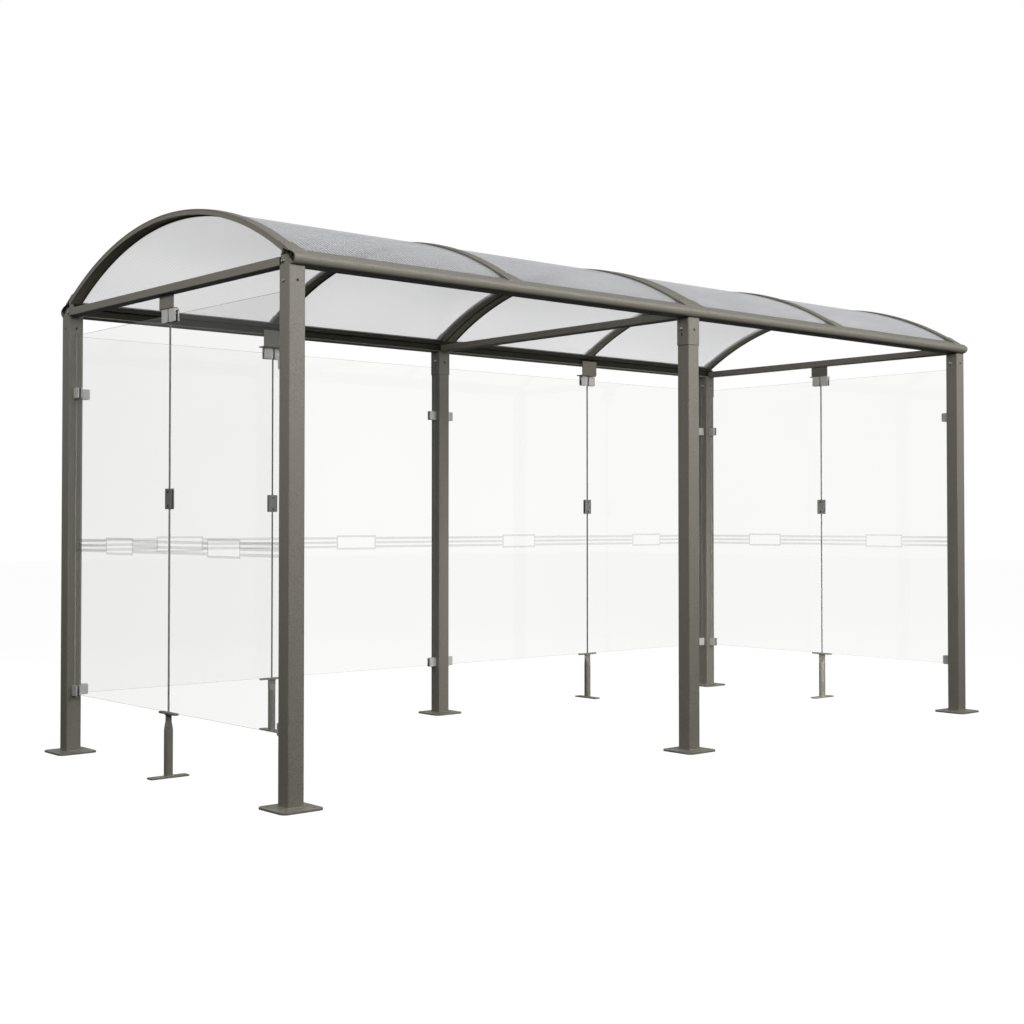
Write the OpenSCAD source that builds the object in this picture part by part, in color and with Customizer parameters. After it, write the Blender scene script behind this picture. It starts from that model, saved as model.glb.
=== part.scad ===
// Bike shelter: square posts on base plates, rounded eave beams, arched roof ribs with twin-wall
// sheets between them, and glass panes on both ends and along the back. The front is open.
// Frame: X along the length, Y towards the glazed back, Z up, origin on the ground at the plan centre.

/* [Overall] */
// Distance between the middle of the length and the end post centres
bay = 2500; // [1800:10:3200]
// Place of the middle posts along the length, from the middle
mid_off = -27; // [-60:1:60]
// Distance between the front and back post centres
depth = 2106; // [1600:10:2800]
// Height of the post tops, which is the underside of the eave beams
eave_z = 2285; // [1900:5:2700]
// Rise of the arched roof from the eave line to its crown
roof_rise = 331.5; // [200:0.5:500]
// Place of the back glass joints, from the middle
joint_x = 1269; // [900:1:1700]

/* [Posts] */
// Outside width of a square post
post = 80; // [60:1:120]
// Wall of a post
post_wall = 3; // [2:0.5:6]
// Outside corner radius of a post
post_r = 5; // [3:0.5:12]
// Side of a square base plate
plate = 210; // [150:1:300]
// Thickness of a base plate
plate_t = 10; // [6:1:20]
// Corner radius of a base plate
plate_r = 30; // [5:1:50]
// Spacing of the four anchor holes, both ways
anchor_pitch = 140; // [110:1:240]
// Diameter of an anchor hole
anchor_d = 14; // [10:1:22]
// Height of the reinforcing sleeve at the top of some posts
sleeve_h = 145; // [80:1:250]
// Wall of the sleeve
sleeve_wall = 4; // [2:0.5:6]

/* [Eave beams] */
// How far the rounded nose stands out from the post centre line
nose = 73; // [66:1:110]
// How far the flat inner face stands inwards from the post centre line
beam_in = 40; // [20:1:50]
// Height of the flat inner face of an eave beam
beam_web = 50; // [35:1:80]
// Wall of an eave beam
beam_wall = 3; // [2:0.5:5]
// Thickness of the cast cap at each beam end
cap_t = 22; // [8:1:40]
// Set-back of the beam ends from the outside of the posts
cap_back = 6; // [0:1:30]

/* [Cross-beams] */
// Width of a cross-beam tube
cross_w = 60; // [40:1:80]
// Height of a cross-beam tube
cross_h = 40; // [30:1:48]
// Wall of a cross-beam tube
cross_wall = 2.5; // [2:0.5:5]

/* [Roof] */
// Width of an arched rib along the length
rib_w = 65; // [50:1:90]
// Thickness of an arched rib
rib_t = 29; // [28:1:50]
// Thickness of a roof sheet
sheet_t = 10; // [6:1:12]
// How far the rib stands above the sheet
rib_proud = 9; // [5:1:9]
// How deep a sheet sits in the groove of a rib
sheet_in = 15; // [8:1:20]
// Room round a sheet in its groove, and at the ends of the sheets and ribs
sheet_gap = 0.3; // [0.2:0.1:1]
// Set-back of the rib ends from the post centre line
rib_in = 17; // [5:1:20]
// Set-back of the end ribs from the outside of the posts
rib_back = 8; // [0:1:30]

/* [Glass] */
// Height of the glass bottom edge above the ground
glass_z = 307; // [150:1:500]
// Gap between the top edge of the glass and the eave line
glass_drop = 100; // [60:1:300]
// Thickness of the glass
glass_t = 8; // [6:1:12]
// Gap between a glass edge and a post
glass_gap = 8; // [4:1:20]
// Gap between two neighbouring panes
joint_gap = 6; // [2:1:12]

/* [Glass holders] */
// Width of an edge clamp, out from the post
clamp_w = 52; // [30:1:80]
// Height of an edge clamp
clamp_h = 55; // [30:1:90]
// Thickness of an edge clamp
clamp_t = 26; // [18:1:40]
// Room between the glass and each jaw of a clamp
jaw_gap = 0.3; // [0.2:0.1:1]
// Height of the upper edge clamps, at their middle
clamp_top_z = 1880; // [1000:5:2200]
// Width of a hanger plate
hanger_w = 132; // [125:1:200]
// Height of the hanger plate below the eave line
hanger_h = 71; // [30:1:90]
// How far the back hanger plates lap up the inner face of the beam
hanger_up = 28; // [15:1:40]
// Thickness of a hanger plate
hanger_t = 6; // [4:1:12]
// Shift of the hangers from the glass joints: to the left along the back, backwards at the ends
hanger_off = 20; // [-30:1:30]
// Width of a top clamp under a hanger
top_clamp_w = 58; // [30:1:80]
// Height of a top clamp
top_clamp_h = 64; // [50:1:110]
// Width of a joint plate
joint_w = 58; // [30:1:80]
// Height of a joint plate
joint_h = 98; // [60:1:160]
// Thickness of a joint plate
joint_t = 5; // [3:1:8]
// Height of the middle of a joint plate
joint_z = 1314; // [600:1:1800]

/* [Stands] */
// Diameter of a stand tube
stand_d = 42; // [30:1:60]
// Wall of a stand tube
stand_wall = 3; // [2:0.5:5]
// Length of a stand's foot plate, across the glass
foot_l = 200; // [150:1:320]
// Width of a stand's foot plate, along the glass
foot_w = 50; // [46:1:90]
// Thickness of a stand's foot plate
foot_t = 8; // [5:1:15]
// Distance between the two holes of a foot plate
foot_pitch = 135; // [90:1:260]
// Diameter of a foot plate hole
foot_hole_d = 11; // [8:1:16]
// Length of the bar that carries the glass
rest_l = 160; // [80:1:240]
// Width of the bar that carries the glass
rest_w = 30; // [14:1:50]
// Thickness of the bar that carries the glass
rest_t = 9; // [5:1:12]
// Height of the flattened neck of a stand
neck_h = 70; // [40:1:120]
// Width of the flattened neck, along the glass
neck_w = 48; // [36:1:70]
// Thickness of the flattened neck
neck_t = 10; // [6:1:16]

/* [Hidden] */
half_l = bay + post / 2;
half_d = depth / 2 + post / 2;
// Arc of the roof through the two eave lines and the crown
eave_line_z = eave_z + beam_web;
roof_r = (half_d * half_d + roof_rise * roof_rise) / (2 * roof_rise);
arc_z = eave_line_z + roof_rise - roof_r;
// The ribs and sheets end on a radial face of the eave beams
rib_end_y = depth / 2 - rib_in;
end_a = asin(rib_end_y / roof_r);
rib_x = half_l - rib_back - rib_w / 2;
// Each half of the roof has its own pair of ribs: the two inner ones stand back to back in the middle
rib_q = (rib_x + rib_w / 2) / 2;
sheet_r = roof_r - rib_proud;
groove = sheet_in + 2;
roof_a = end_a - sheet_gap / sheet_r * 180 / PI;
// Section of an eave beam, outwards from the post centre line and up from the eave line
lip_in = sheet_r - sheet_t - 14;
nose_r = 22;
beam_pts = concat(
  [
    [-beam_in, 0],
    [-beam_in, beam_web],
    [lip_in * sin(end_a) - depth / 2, arc_z + lip_in * cos(end_a) - eave_z],
    [sheet_r * sin(end_a) - depth / 2, arc_z + sheet_r * cos(end_a) - eave_z],
    [nose - 60, beam_web + 15],
    [nose - 24, beam_web + 3],
    [nose - 9, beam_web - 7],
    [nose - 3, beam_web - 16]
  ],
  [for (i = [0:6]) [nose - nose_r + nose_r * cos(6 - i * 16), nose_r + nose_r * sin(6 - i * 16)]]
);
cap_x = half_l - cap_back;
cross_z = eave_z + cross_h / 2;
cross_x = half_l - cross_w / 2;
cross_l = depth - 2 * beam_in;
glass_top = eave_z - glass_drop;
glass_h = glass_top - glass_z;
side_w = (depth - post - 2 * glass_gap - joint_gap) / 2;
clamp_low_z = glass_z - 8 + clamp_h / 2;
slot = glass_t + 2 * jaw_gap;
hanger_z = eave_z - hanger_h;
metal = [0.42, 0.40, 0.36];
metal_dark = [0.30, 0.29, 0.26];
steel = [0.72, 0.71, 0.69];
pane = [0.86, 0.89, 0.88, 0.35];
sheet_c = [0.80, 0.82, 0.85, 0.8];
fine = 48;

// Plan outline with round corners, centred
module round_rect(w, d, r) {
  union() {
    square([w - 2 * r, d], center = true);
    square([w, d - 2 * r], center = true);
    for (sx = [-1, 1], sy = [-1, 1])
      translate([sx * (w / 2 - r), sy * (d / 2 - r)])
        circle(r = r, $fn = fine);
  }
}

// Square tube standing on its centre
module square_tube(w, wall, r, h) {
  linear_extrude(height = h)
    difference() {
      round_rect(w, w, r);
      square([w - 2 * wall, w - 2 * wall], center = true);
    }
}

// Post welded to its base plate, with four anchor holes
module post_at(x, y) {
  color(metal)
    translate([x, y, 0])
      difference() {
        union() {
          linear_extrude(height = plate_t)
            round_rect(plate, plate, plate_r);
          translate([0, 0, plate_t])
            square_tube(post, post_wall, post_r, eave_z - plate_t);
        }
        for (sx = [-1, 1], sy = [-1, 1])
          translate([sx * anchor_pitch / 2, sy * anchor_pitch / 2, -1])
            cylinder(d = anchor_d, h = plate_t + 2, $fn = fine);
      }
}

// Sleeves round the tops of the middle posts and the back right post
module post_sleeves() {
  color(metal)
    for (p = [[mid_off, -1], [mid_off, 1], [bay, 1]])
      translate([p[0], p[1] * depth / 2, eave_z - sleeve_h])
        linear_extrude(height = sleeve_h)
          difference() {
            square([post + 2 * sleeve_wall, post + 2 * sleeve_wall], center = true);
            round_rect(post, post, post_r);
          }
}

// A point moved inwards by t from the corner of two edges of a closed outline
function inward(a, b, c, t) =
  let (
    u = (b - a) / norm(b - a),
    v = (c - b) / norm(c - b),
    n = [u[1], -u[0]] + [v[1], -v[0]],
    k = t / (1 + u * v)
  )
  b + n * k;

function inset(pts, t) = [
  for (i = [0:len(pts) - 1])
    inward(pts[(i + len(pts) - 1) % len(pts)], pts[i], pts[(i + 1) % len(pts)], t)
];

// Bar with the eave section along X, nose to -Y on the front and to +Y on the back
module eave_bar(side, x0, x1, pts) {
  translate([x0, side * depth / 2, eave_z])
    rotate([90, 0, 90])
      linear_extrude(height = x1 - x0)
        polygon([for (p = pts) [side * p[0], p[1]]]);
}

module eave_beam(side) {
  color(metal)
    difference() {
      eave_bar(side, -cap_x + cap_t, cap_x - cap_t, beam_pts);
      eave_bar(side, -half_l, half_l, inset(beam_pts, beam_wall));
    }
}

// Cast caps that close both beams at one end
module eave_caps(end) {
  color(metal_dark)
    for (side = [-1, 1])
      eave_bar(side, end < 0 ? -cap_x : cap_x - cap_t, end < 0 ? -cap_x + cap_t : cap_x, beam_pts);
}

module cross_beam(x) {
  color(metal)
    translate([x, 0, cross_z])
      rotate([90, 0, 0])
        linear_extrude(height = cross_l, center = true)
          difference() {
            square([cross_w, cross_h], center = true);
            square([cross_w - 2 * cross_wall, cross_h - 2 * cross_wall], center = true);
          }
}

// Sweep of an outline (radius, -X) about the roof's axis
module arc_sweep(a) {
  translate([0, 0, arc_z])
    rotate([0, -90, 0])
      rotate([0, 0, -a])
        rotate_extrude(angle = 2 * a, $fn = 180)
          children();
}

// Rib with a groove for the sheet on each side named in sides (-1 left, 1 right)
module roof_rib(x, sides) {
  color(metal)
    translate([x, 0, 0])
      arc_sweep(roof_a)
        difference() {
          translate([roof_r - rib_t, -rib_w / 2])
            square([rib_t, rib_w]);
          for (s = sides)
            translate([sheet_r - sheet_t - sheet_gap, s < 0 ? rib_w / 2 - groove : -rib_w / 2 - 1])
              square([sheet_t + 2 * sheet_gap, groove + 1]);
        }
}

// The two ribs that stand back to back in the middle of the roof
module middle_ribs() {
  roof_rib(-rib_w / 2, [-1]);
  roof_rib(rib_w / 2, [1]);
}

// Bent twin-wall sheet, its edges in the grooves of the ribs at left and right
module roof_sheet(left, right) {
  x0 = left + rib_w / 2 - sheet_in;
  x1 = right - rib_w / 2 + sheet_in;
  color(sheet_c)
    translate([(x0 + x1) / 2, 0, 0])
      arc_sweep(roof_a)
        translate([sheet_r - sheet_t, -(x1 - x0) / 2])
          square([sheet_t, x1 - x0]);
}

module side_pane(end, half) {
  color(pane)
    translate([end * bay, half * (joint_gap + side_w) / 2, glass_z + glass_h / 2])
      cube([glass_t, side_w, glass_h], center = true);
}

// Edges of the four back panes, counted from the left
back_edges = [
  [-bay + post / 2 + glass_gap, -joint_x - joint_gap / 2],
  [-joint_x + joint_gap / 2, mid_off - post / 2 - glass_gap],
  [mid_off + post / 2 + glass_gap, joint_x - joint_gap / 2],
  [joint_x + joint_gap / 2, bay - post / 2 - glass_gap]
];

module back_pane(i) {
  e = back_edges[i - 1];
  color(pane)
    translate([(e[0] + e[1]) / 2, depth / 2, glass_z + glass_h / 2])
      cube([e[1] - e[0], glass_t, glass_h], center = true);
}

// Stand under a glass joint: foot plate with two holes, tube with a flattened neck, and a rest bar.
// Drawn for glass along X; turn is 90 for glass along Y.
module stand_at(x, y, turn) {
  top = glass_z - rest_t;
  color(metal)
    translate([x, y, 0])
      rotate([0, 0, turn])
        difference() {
          union() {
            linear_extrude(height = foot_t)
              round_rect(foot_w, foot_l, 6);
            difference() {
              translate([0, 0, foot_t])
                cylinder(d = stand_d, h = top - neck_h - foot_t, $fn = fine);
              translate([0, 0, foot_t + 1])
                cylinder(d = stand_d - 2 * stand_wall, h = top - neck_h - foot_t - 2, $fn = fine);
            }
            hull() {
              translate([0, 0, top - neck_h])
                cylinder(d = stand_d, h = 0.1, $fn = 32);
              translate([0, 0, top - neck_h / 2])
                cube([neck_w, neck_t, 0.1], center = true);
            }
            translate([0, 0, top - neck_h / 4])
              cube([neck_w, neck_t, neck_h / 2], center = true);
            translate([0, 0, top + rest_t / 2])
              cube([rest_l, rest_w, rest_t], center = true);
          }
          for (s = [-1, 1])
            translate([0, s * foot_pitch / 2, -1])
              cylinder(d = foot_hole_d, h = foot_t + 2, $fn = fine);
        }
}

// Angle under the middle of a cross-beam: its flange reaches over the glass; end is -1 left, 1 right
module hanger_side(end) {
  far = cross_x + hanger_t / 2;
  near = bay - clamp_t / 2;
  color(metal)
    union() {
      translate([end * (far - hanger_t / 2), hanger_off, (hanger_z + eave_z) / 2])
        cube([hanger_t, hanger_w, eave_z - hanger_z], center = true);
      translate([end * (far + near) / 2, hanger_off, hanger_z + hanger_t / 2])
        cube([far - near, hanger_w, hanger_t], center = true);
    }
}

// Angle on the inner face of the back beam: its flange reaches back over the glass
module hanger_back(x) {
  face = depth / 2 - beam_in;
  reach = beam_in + clamp_t / 2;
  color(metal)
    union() {
      translate([x, face - hanger_t / 2, hanger_z + (hanger_h + hanger_up) / 2])
        cube([hanger_w, hanger_t, hanger_h + hanger_up], center = true);
      translate([x, face + (reach - hanger_t) / 2, hanger_z + hanger_t / 2])
        cube([hanger_w, reach + hanger_t, hanger_t], center = true);
    }
}

// Clamp block with a slot for the glass: w out from the edge, h high, slot depth in from the open side
module edge_clamp(w, h) {
  difference() {
    translate([w / 2, 0, 0])
      cube([w, clamp_t, h], center = true);
    translate([glass_gap + w, 0, 0])
      cube([2 * w, slot, h + 2], center = true);
  }
}

// Edge clamps of a glazed end, on the front and back posts
module edge_clamps_side(end) {
  color(steel)
    for (z = [clamp_low_z, clamp_top_z], s = [-1, 1])
      translate([end * bay, s * (depth / 2 - post / 2), z])
        rotate([0, 0, -s * 90])
          edge_clamp(clamp_w, clamp_h);
}

// Edge clamps along the back, on all three posts
module edge_clamps_back() {
  color(steel)
    for (z = [clamp_low_z, clamp_top_z], p = [[-bay, 1], [mid_off, -1], [mid_off, 1], [bay, -1]])
      translate([p[0] + p[1] * post / 2, depth / 2, z])
        rotate([0, 0, p[1] > 0 ? 0 : 180])
          edge_clamp(clamp_w, clamp_h);
}

// Clamp that holds the top edge of a pane
module top_clamp() {
  difference() {
    translate([0, 0, -top_clamp_h / 2])
      cube([top_clamp_w, clamp_t, top_clamp_h], center = true);
    translate([0, 0, glass_top - hanger_z - top_clamp_h])
      cube([top_clamp_w + 2, slot, 2 * top_clamp_h], center = true);
  }
}

module top_clamps() {
  off = (top_clamp_w + joint_gap + 5) / 2;
  color(steel) {
    for (e = [-1, 1], s = [-1, 1])
      translate([e * bay, s * off, hanger_z])
        rotate([0, 0, 90])
          top_clamp();
    for (e = [-1, 1], s = [-1, 1])
      translate([e * joint_x + s * off, depth / 2, hanger_z])
        top_clamp();
  }
}

// Pairs of plates that hold two neighbouring panes at mid height, one on each face
module joint_plates() {
  color(metal) {
    for (e = [-1, 1], s = [-1, 1])
      translate([e * bay + s * (glass_t + joint_t) / 2, 0, joint_z])
        cube([joint_t, joint_w, joint_h], center = true);
    for (e = [-1, 1], s = [-1, 1])
      translate([e * joint_x, depth / 2 + s * (glass_t + joint_t) / 2, joint_z])
        cube([joint_w, joint_t, joint_h], center = true);
  }
}

post_at(-bay, -depth / 2);  // post_front_left
post_at(mid_off, -depth / 2);  // post_front_middle
post_at(bay, -depth / 2);  // post_front_right
post_at(-bay, depth / 2);  // post_back_left
post_at(mid_off, depth / 2);  // post_back_middle
post_at(bay, depth / 2);  // post_back_right
post_sleeves();
eave_beam(-1);  // eave_beam_front
eave_beam(1);  // eave_beam_back
eave_caps(-1);  // eave_caps_left
eave_caps(1);  // eave_caps_right
cross_beam(-cross_x);  // cross_beam_left
cross_beam(mid_off);  // cross_beam_middle
cross_beam(cross_x);  // cross_beam_right
roof_rib(-rib_x, [1]);  // roof_rib_left_end
roof_rib(-rib_q, [-1, 1]);  // roof_rib_left
middle_ribs();  // roof_rib_middle
roof_rib(rib_q, [-1, 1]);  // roof_rib_right
roof_rib(rib_x, [-1]);  // roof_rib_right_end
roof_sheet(-rib_x, -rib_q);  // roof_sheet_1
roof_sheet(-rib_q, -rib_w / 2);  // roof_sheet_2
roof_sheet(rib_w / 2, rib_q);  // roof_sheet_3
roof_sheet(rib_q, rib_x);  // roof_sheet_4
side_pane(-1, -1);  // glass_left_front
side_pane(-1, 1);  // glass_left_back
back_pane(1);  // glass_back_1
back_pane(2);  // glass_back_2
back_pane(3);  // glass_back_3
back_pane(4);  // glass_back_4
side_pane(1, -1);  // glass_right_front
side_pane(1, 1);  // glass_right_back
stand_at(-bay, 0, 90);  // stand_left
stand_at(-joint_x, depth / 2, 0);  // stand_back_left
stand_at(joint_x, depth / 2, 0);  // stand_back_right
stand_at(bay, 0, 90);  // stand_right
hanger_side(-1);  // hanger_left
hanger_back(-joint_x - hanger_off);  // hanger_back_left
hanger_back(joint_x - hanger_off);  // hanger_back_right
hanger_side(1);  // hanger_right
edge_clamps_side(-1);  // edge_clamps_left
edge_clamps_back();
edge_clamps_side(1);  // edge_clamps_right
top_clamps();
joint_plates();
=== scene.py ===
import math

import bmesh
import bpy
import numpy as np
from mathutils import Matrix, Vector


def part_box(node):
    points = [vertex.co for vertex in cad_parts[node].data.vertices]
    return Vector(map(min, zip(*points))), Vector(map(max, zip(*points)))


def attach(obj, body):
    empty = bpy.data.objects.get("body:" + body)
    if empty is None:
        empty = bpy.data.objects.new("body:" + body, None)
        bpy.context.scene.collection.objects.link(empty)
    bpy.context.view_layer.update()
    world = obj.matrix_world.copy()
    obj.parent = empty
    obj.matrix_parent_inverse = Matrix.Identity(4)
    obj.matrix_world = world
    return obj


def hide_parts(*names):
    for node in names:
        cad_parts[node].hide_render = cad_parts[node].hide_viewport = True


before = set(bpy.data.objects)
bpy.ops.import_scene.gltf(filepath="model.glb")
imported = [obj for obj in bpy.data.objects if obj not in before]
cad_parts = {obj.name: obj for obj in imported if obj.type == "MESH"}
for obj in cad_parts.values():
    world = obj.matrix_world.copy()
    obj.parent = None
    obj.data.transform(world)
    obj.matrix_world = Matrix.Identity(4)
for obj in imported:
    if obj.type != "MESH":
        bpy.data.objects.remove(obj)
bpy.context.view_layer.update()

bl_info = {
    "name": "Bike shelter",
    "version": (1, 0, 0),
    "blender": (4, 5, 0),
    "location": "View3D > Sidebar > Shelter",
    "description": "Glazed bike shelter with an arched twin-wall roof, built round its CAD frame",
    "category": "Add Mesh",
}

BORE = 0.03  # length of the rods that cut holes, past the wall on both sides
WHITE = (1.0, 1.0, 1.0, 1.0)
UP = np.array((0, 0, 1.0))


# ------------------------------------------------------------------------------
# Numbers
# ------------------------------------------------------------------------------


def paint(code):
    """Linear red, green, blue and full alpha of an sRGB hex value: c / 12.92 up to 0.04045, and above it
    ((c + 0.055) / 1.055) ^ 2.4."""
    c = np.array([int(code[i : i + 2], 16) for i in (1, 3, 5)]) / 255
    c = np.where(c <= 0.04045, c / 12.92, ((c + 0.055) / 1.055) ** 2.4)
    return (*c.tolist(), 1.0)


def corners(node):
    """Lowest and highest corner of a CAD node, as two arrays in metres."""
    low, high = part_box(node)
    return np.array(low), np.array(high)


def centre_of(node):
    """Middle of a CAD node's box."""
    return np.mean(corners(node), 0)


def unit(vector):
    """A vector divided by its length."""
    v = np.array(vector, float)
    return v / np.linalg.norm(v)


def frame_about(axis):
    """Two unit vectors square to an axis and to each other: the first is level unless the axis is upright."""
    w = unit(axis)
    u = unit(np.cross((0, 0, 1), w)) if abs(w[2]) < 0.9 else np.array((1.0, 0, 0))
    return u, np.cross(w, u)


# ------------------------------------------------------------------------------
# Outlines: closed loops of points (n, 2), anticlockwise
# ------------------------------------------------------------------------------


def rounded(width, height, radius, steps=5, rest=0.0006):
    """Rounded rectangle: on each corner's centre a quarter circle c + r (cos t, sin t), with a point `rest`
    before and after it on the straight sides, so that these stay flat when shaded."""
    t = np.linspace(0, np.pi / 2, steps + 1)
    turn = np.arange(4)[:, None] * np.pi / 2 + t[None, :]
    sign = np.array([(1, 1), (-1, 1), (-1, -1), (1, -1)])
    centre = sign * (width / 2 - radius, height / 2 - radius)
    arc = centre[:, None, :] + radius * np.stack([np.cos(turn), np.sin(turn)], -1)
    along = np.stack([-np.sin(turn), np.cos(turn)], -1)
    before = arc[:, :1] - rest * along[:, :1]
    after = arc[:, -1:] + rest * along[:, -1:]
    return np.concatenate([before, arc, after], 1).reshape(-1, 2)


def spline(points, steps):
    """Open Catmull-Rom curve through the points: on each stretch the cubic whose slope at a point is half the
    step from the point before it to the point after it."""
    p = np.array(points, float)
    q = np.concatenate([2 * p[:1] - p[1:2], p, 2 * p[-1:] - p[-2:-1]])
    a, b, c, d = (x[:, None, :] for x in (q[:-3], q[1:-2], q[2:-1], q[3:]))
    t = np.linspace(0, 1, steps, endpoint=False)[None, :, None]
    curve = 0.5 * (2 * b + (c - a) * t + (2 * a - 5 * b + 4 * c - d) * t**2 + (3 * b - 3 * c + d - a) * t**3)
    return np.concatenate([curve.reshape(-1, 2), p[-1:]])


def turns(first, last, count):
    """Points (cos a, sin a) of the unit circle from one angle in degrees to another."""
    a = np.radians(np.linspace(first, last, count))
    return np.stack([np.cos(a), np.sin(a)], 1)


def quarter_round(bevel):
    """A quarter-round edge in four steps, as how far each is drawn in, b (1 - sin t), and how deep, b (1 -
    cos t)."""
    t = np.linspace(0, np.pi / 2, 4)
    return bevel * (1 - np.sin(t)), bevel * (1 - np.cos(t))


def drawn_in(loop, depth):
    """A closed anticlockwise loop moved inwards: each point goes by depth / cos(half the turn) along the mean
    of the normals of the two sides that meet in it."""
    ahead = np.roll(loop, -1, 0) - loop
    ahead = ahead / np.linalg.norm(ahead, axis=1, keepdims=True)
    inward = np.stack([-ahead[:, 1], ahead[:, 0]], 1)
    mean = inward + np.roll(inward, 1, 0)
    mean = mean / np.maximum((mean * inward).sum(1, keepdims=True), 0.35)
    return loop + depth * mean


# ------------------------------------------------------------------------------
# Surfaces: each gives (points (n, 3), [faces (k, sides), ...])
# ------------------------------------------------------------------------------


def skin(grid, round_rows=False, round_cols=True, ends=True):
    """Surface of a grid of points P(i, j): faces (i, j) (i, j+1) (i+1, j+1) (i+1, j), joined up at the rows'
    or columns' end where it is round, and one face over each end of a tube."""
    rows, cols = grid.shape[:2]
    i, j = np.meshgrid(np.arange(rows - (not round_rows)), np.arange(cols - (not round_cols)), indexing="ij")
    i2, j2 = (i + 1) % rows, (j + 1) % cols
    faces = [np.stack([i * cols + j, i * cols + j2, i2 * cols + j2, i2 * cols + j], -1).reshape(-1, 4)]
    if ends and round_cols and not round_rows:
        faces.append(np.arange(cols)[None, ::-1])
        faces.append(np.arange((rows - 1) * cols, rows * cols)[None, :])
    return grid.reshape(-1, 3), faces


def placed(loops, offsets, origin, u=(1, 0, 0), v=(0, 1, 0), w=(0, 0, 1)):
    """Loops (m, n, 2) set one after another along w: P(i, j) = origin + loop(i, j).x u + loop(i, j).y v +
    offset(i) w."""
    loops = np.array(loops, float)
    offsets = np.array(offsets, float)[:, None, None]
    u, v, w = (np.array(x, float) for x in (u, v, w))
    return np.array(origin, float) + loops[..., :1] * u + loops[..., 1:] * v + offsets * w


def bar(loop, start, end, origin, u=(0, 1, 0), v=(0, 0, 1), w=(1, 0, 0), bevel=0.0):
    """A loop carried straight along w from start to end, drawn in by a quarter-round bevel at both ends."""
    if not bevel:
        return skin(placed([loop, loop], [start, end], origin, u, v, w))
    inset, deep = quarter_round(bevel)
    loops = [drawn_in(loop, x) for x in [*inset, *inset[::-1]]]
    return skin(placed(loops, [*(start + deep), *(end - deep[::-1])], origin, u, v, w))


def slab(width, height, thick, centre, u=(1, 0, 0), v=(0, 1, 0), radius=0.002, bevel=0.0006, steps=5):
    """Flat plate: a rounded rectangle carried through the thickness along u x v, with a quarter-round
    bevel."""
    inset, deep = quarter_round(bevel)
    deep = deep - thick / 2
    loops = [rounded(width - 2 * x, height - 2 * x, max(radius - x, 0.0002), steps) for x in inset]
    return skin(placed(loops + loops[::-1], [*deep, *(-deep[::-1])], centre, u, v, np.cross(u, v)))


def tube(outer, inner, start, end, origin, u=(1, 0, 0), v=(0, 1, 0), w=(0, 0, 1)):
    """Hollow bar: the outer loop carried one way and the inner loop back, joined into one closed wall."""
    return skin(placed([outer, outer, inner, inner], [start, end, end, start], origin, u, v, w), round_rows=True)


def turned(profile, centre, axis, sides=24, round_profile=False):
    """Surface of revolution: P(i, j) = centre + h(i) axis + r(i) (cos a(j) u + sin a(j) v), for (r, h) in
    profile."""
    r, h = np.array(profile, float).T
    a = np.arange(sides) * 2 * np.pi / sides
    u, v = frame_about(axis)
    ring = np.cos(a)[:, None] * u + np.sin(a)[:, None] * v
    grid = np.array(centre, float) + h[:, None, None] * unit(axis) + r[:, None, None] * ring
    return skin(grid, round_rows=round_profile, ends=False)


def arched(loop, angles, radius, centre_z, x):
    """Section (x, r) carried round the roof's arc: P(i, j) = (x + loop.x, R sin a, zc + R cos a) with
    R = radius + loop.r and a = angles(i)."""
    reach = radius + loop[None, :, 1]
    a = np.array(angles)[:, None]
    grid = np.stack([np.broadcast_to(x + loop[None, :, 0], reach.shape) + 0 * a, reach * np.sin(a),
                     centre_z + reach * np.cos(a)], -1)
    return skin(grid)


def dome_bolt(centre, axis, radius, height, socket):
    """Button head: a low dome r = R cos t, h = H sin t on a short rim, dished in the middle by a hexagon
    socket."""
    t = np.linspace(0, np.pi / 2, 7)[:-1]
    rim = 0.001
    dome = [(radius * math.cos(k), rim + (height - rim) * math.sin(k)) for k in t]
    dome = [(r, h) for r, h in dome if r > socket]
    dish = [(socket, height), (socket * 0.92, height * 0.45), (0, height * 0.4)] if socket else [(0, height)]
    return [turned([(0, -0.0002), (radius * 0.97, -0.0002), *dome, *dish], centre, axis, 24)]


def flat_washer(centre, axis, outer, inner, thick):
    """Ring turned about its axis from a rectangle with its edges eased."""
    e = thick * 0.2
    return turned([(inner, 0), (outer, 0), (outer, thick - e), (outer - e, thick), (inner + e, thick),
                   (inner, thick - e)], centre, axis, 28, round_profile=True)


# ------------------------------------------------------------------------------
# Pieces
# ------------------------------------------------------------------------------


def solid(name, shells, angle=35):
    """A mesh object of one or more closed surfaces: doubles merged, faces turned outwards, smooth below the
    angle."""
    starts = np.cumsum([0] + [len(points) for points, faces in shells])
    points = np.concatenate([points for points, faces in shells])
    faces = [row for (_, fs), s in zip(shells, starts) for f in fs for row in (f + s).tolist()]
    mesh = bpy.data.meshes.new(name)
    mesh.from_pydata(points.tolist(), [], faces)
    cleaner = bmesh.new()
    cleaner.from_mesh(mesh)
    bmesh.ops.remove_doubles(cleaner, verts=cleaner.verts, dist=2e-6)
    bmesh.ops.dissolve_degenerate(cleaner, edges=cleaner.edges, dist=1e-7)
    bmesh.ops.recalc_face_normals(cleaner, faces=cleaner.faces)
    cleaner.to_mesh(mesh)
    cleaner.free()
    mesh.shade_smooth()
    mesh.set_sharp_from_angle(angle=math.radians(angle))
    thing = bpy.data.objects.new(name, mesh)
    bpy.context.scene.collection.objects.link(thing)
    return thing


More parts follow.
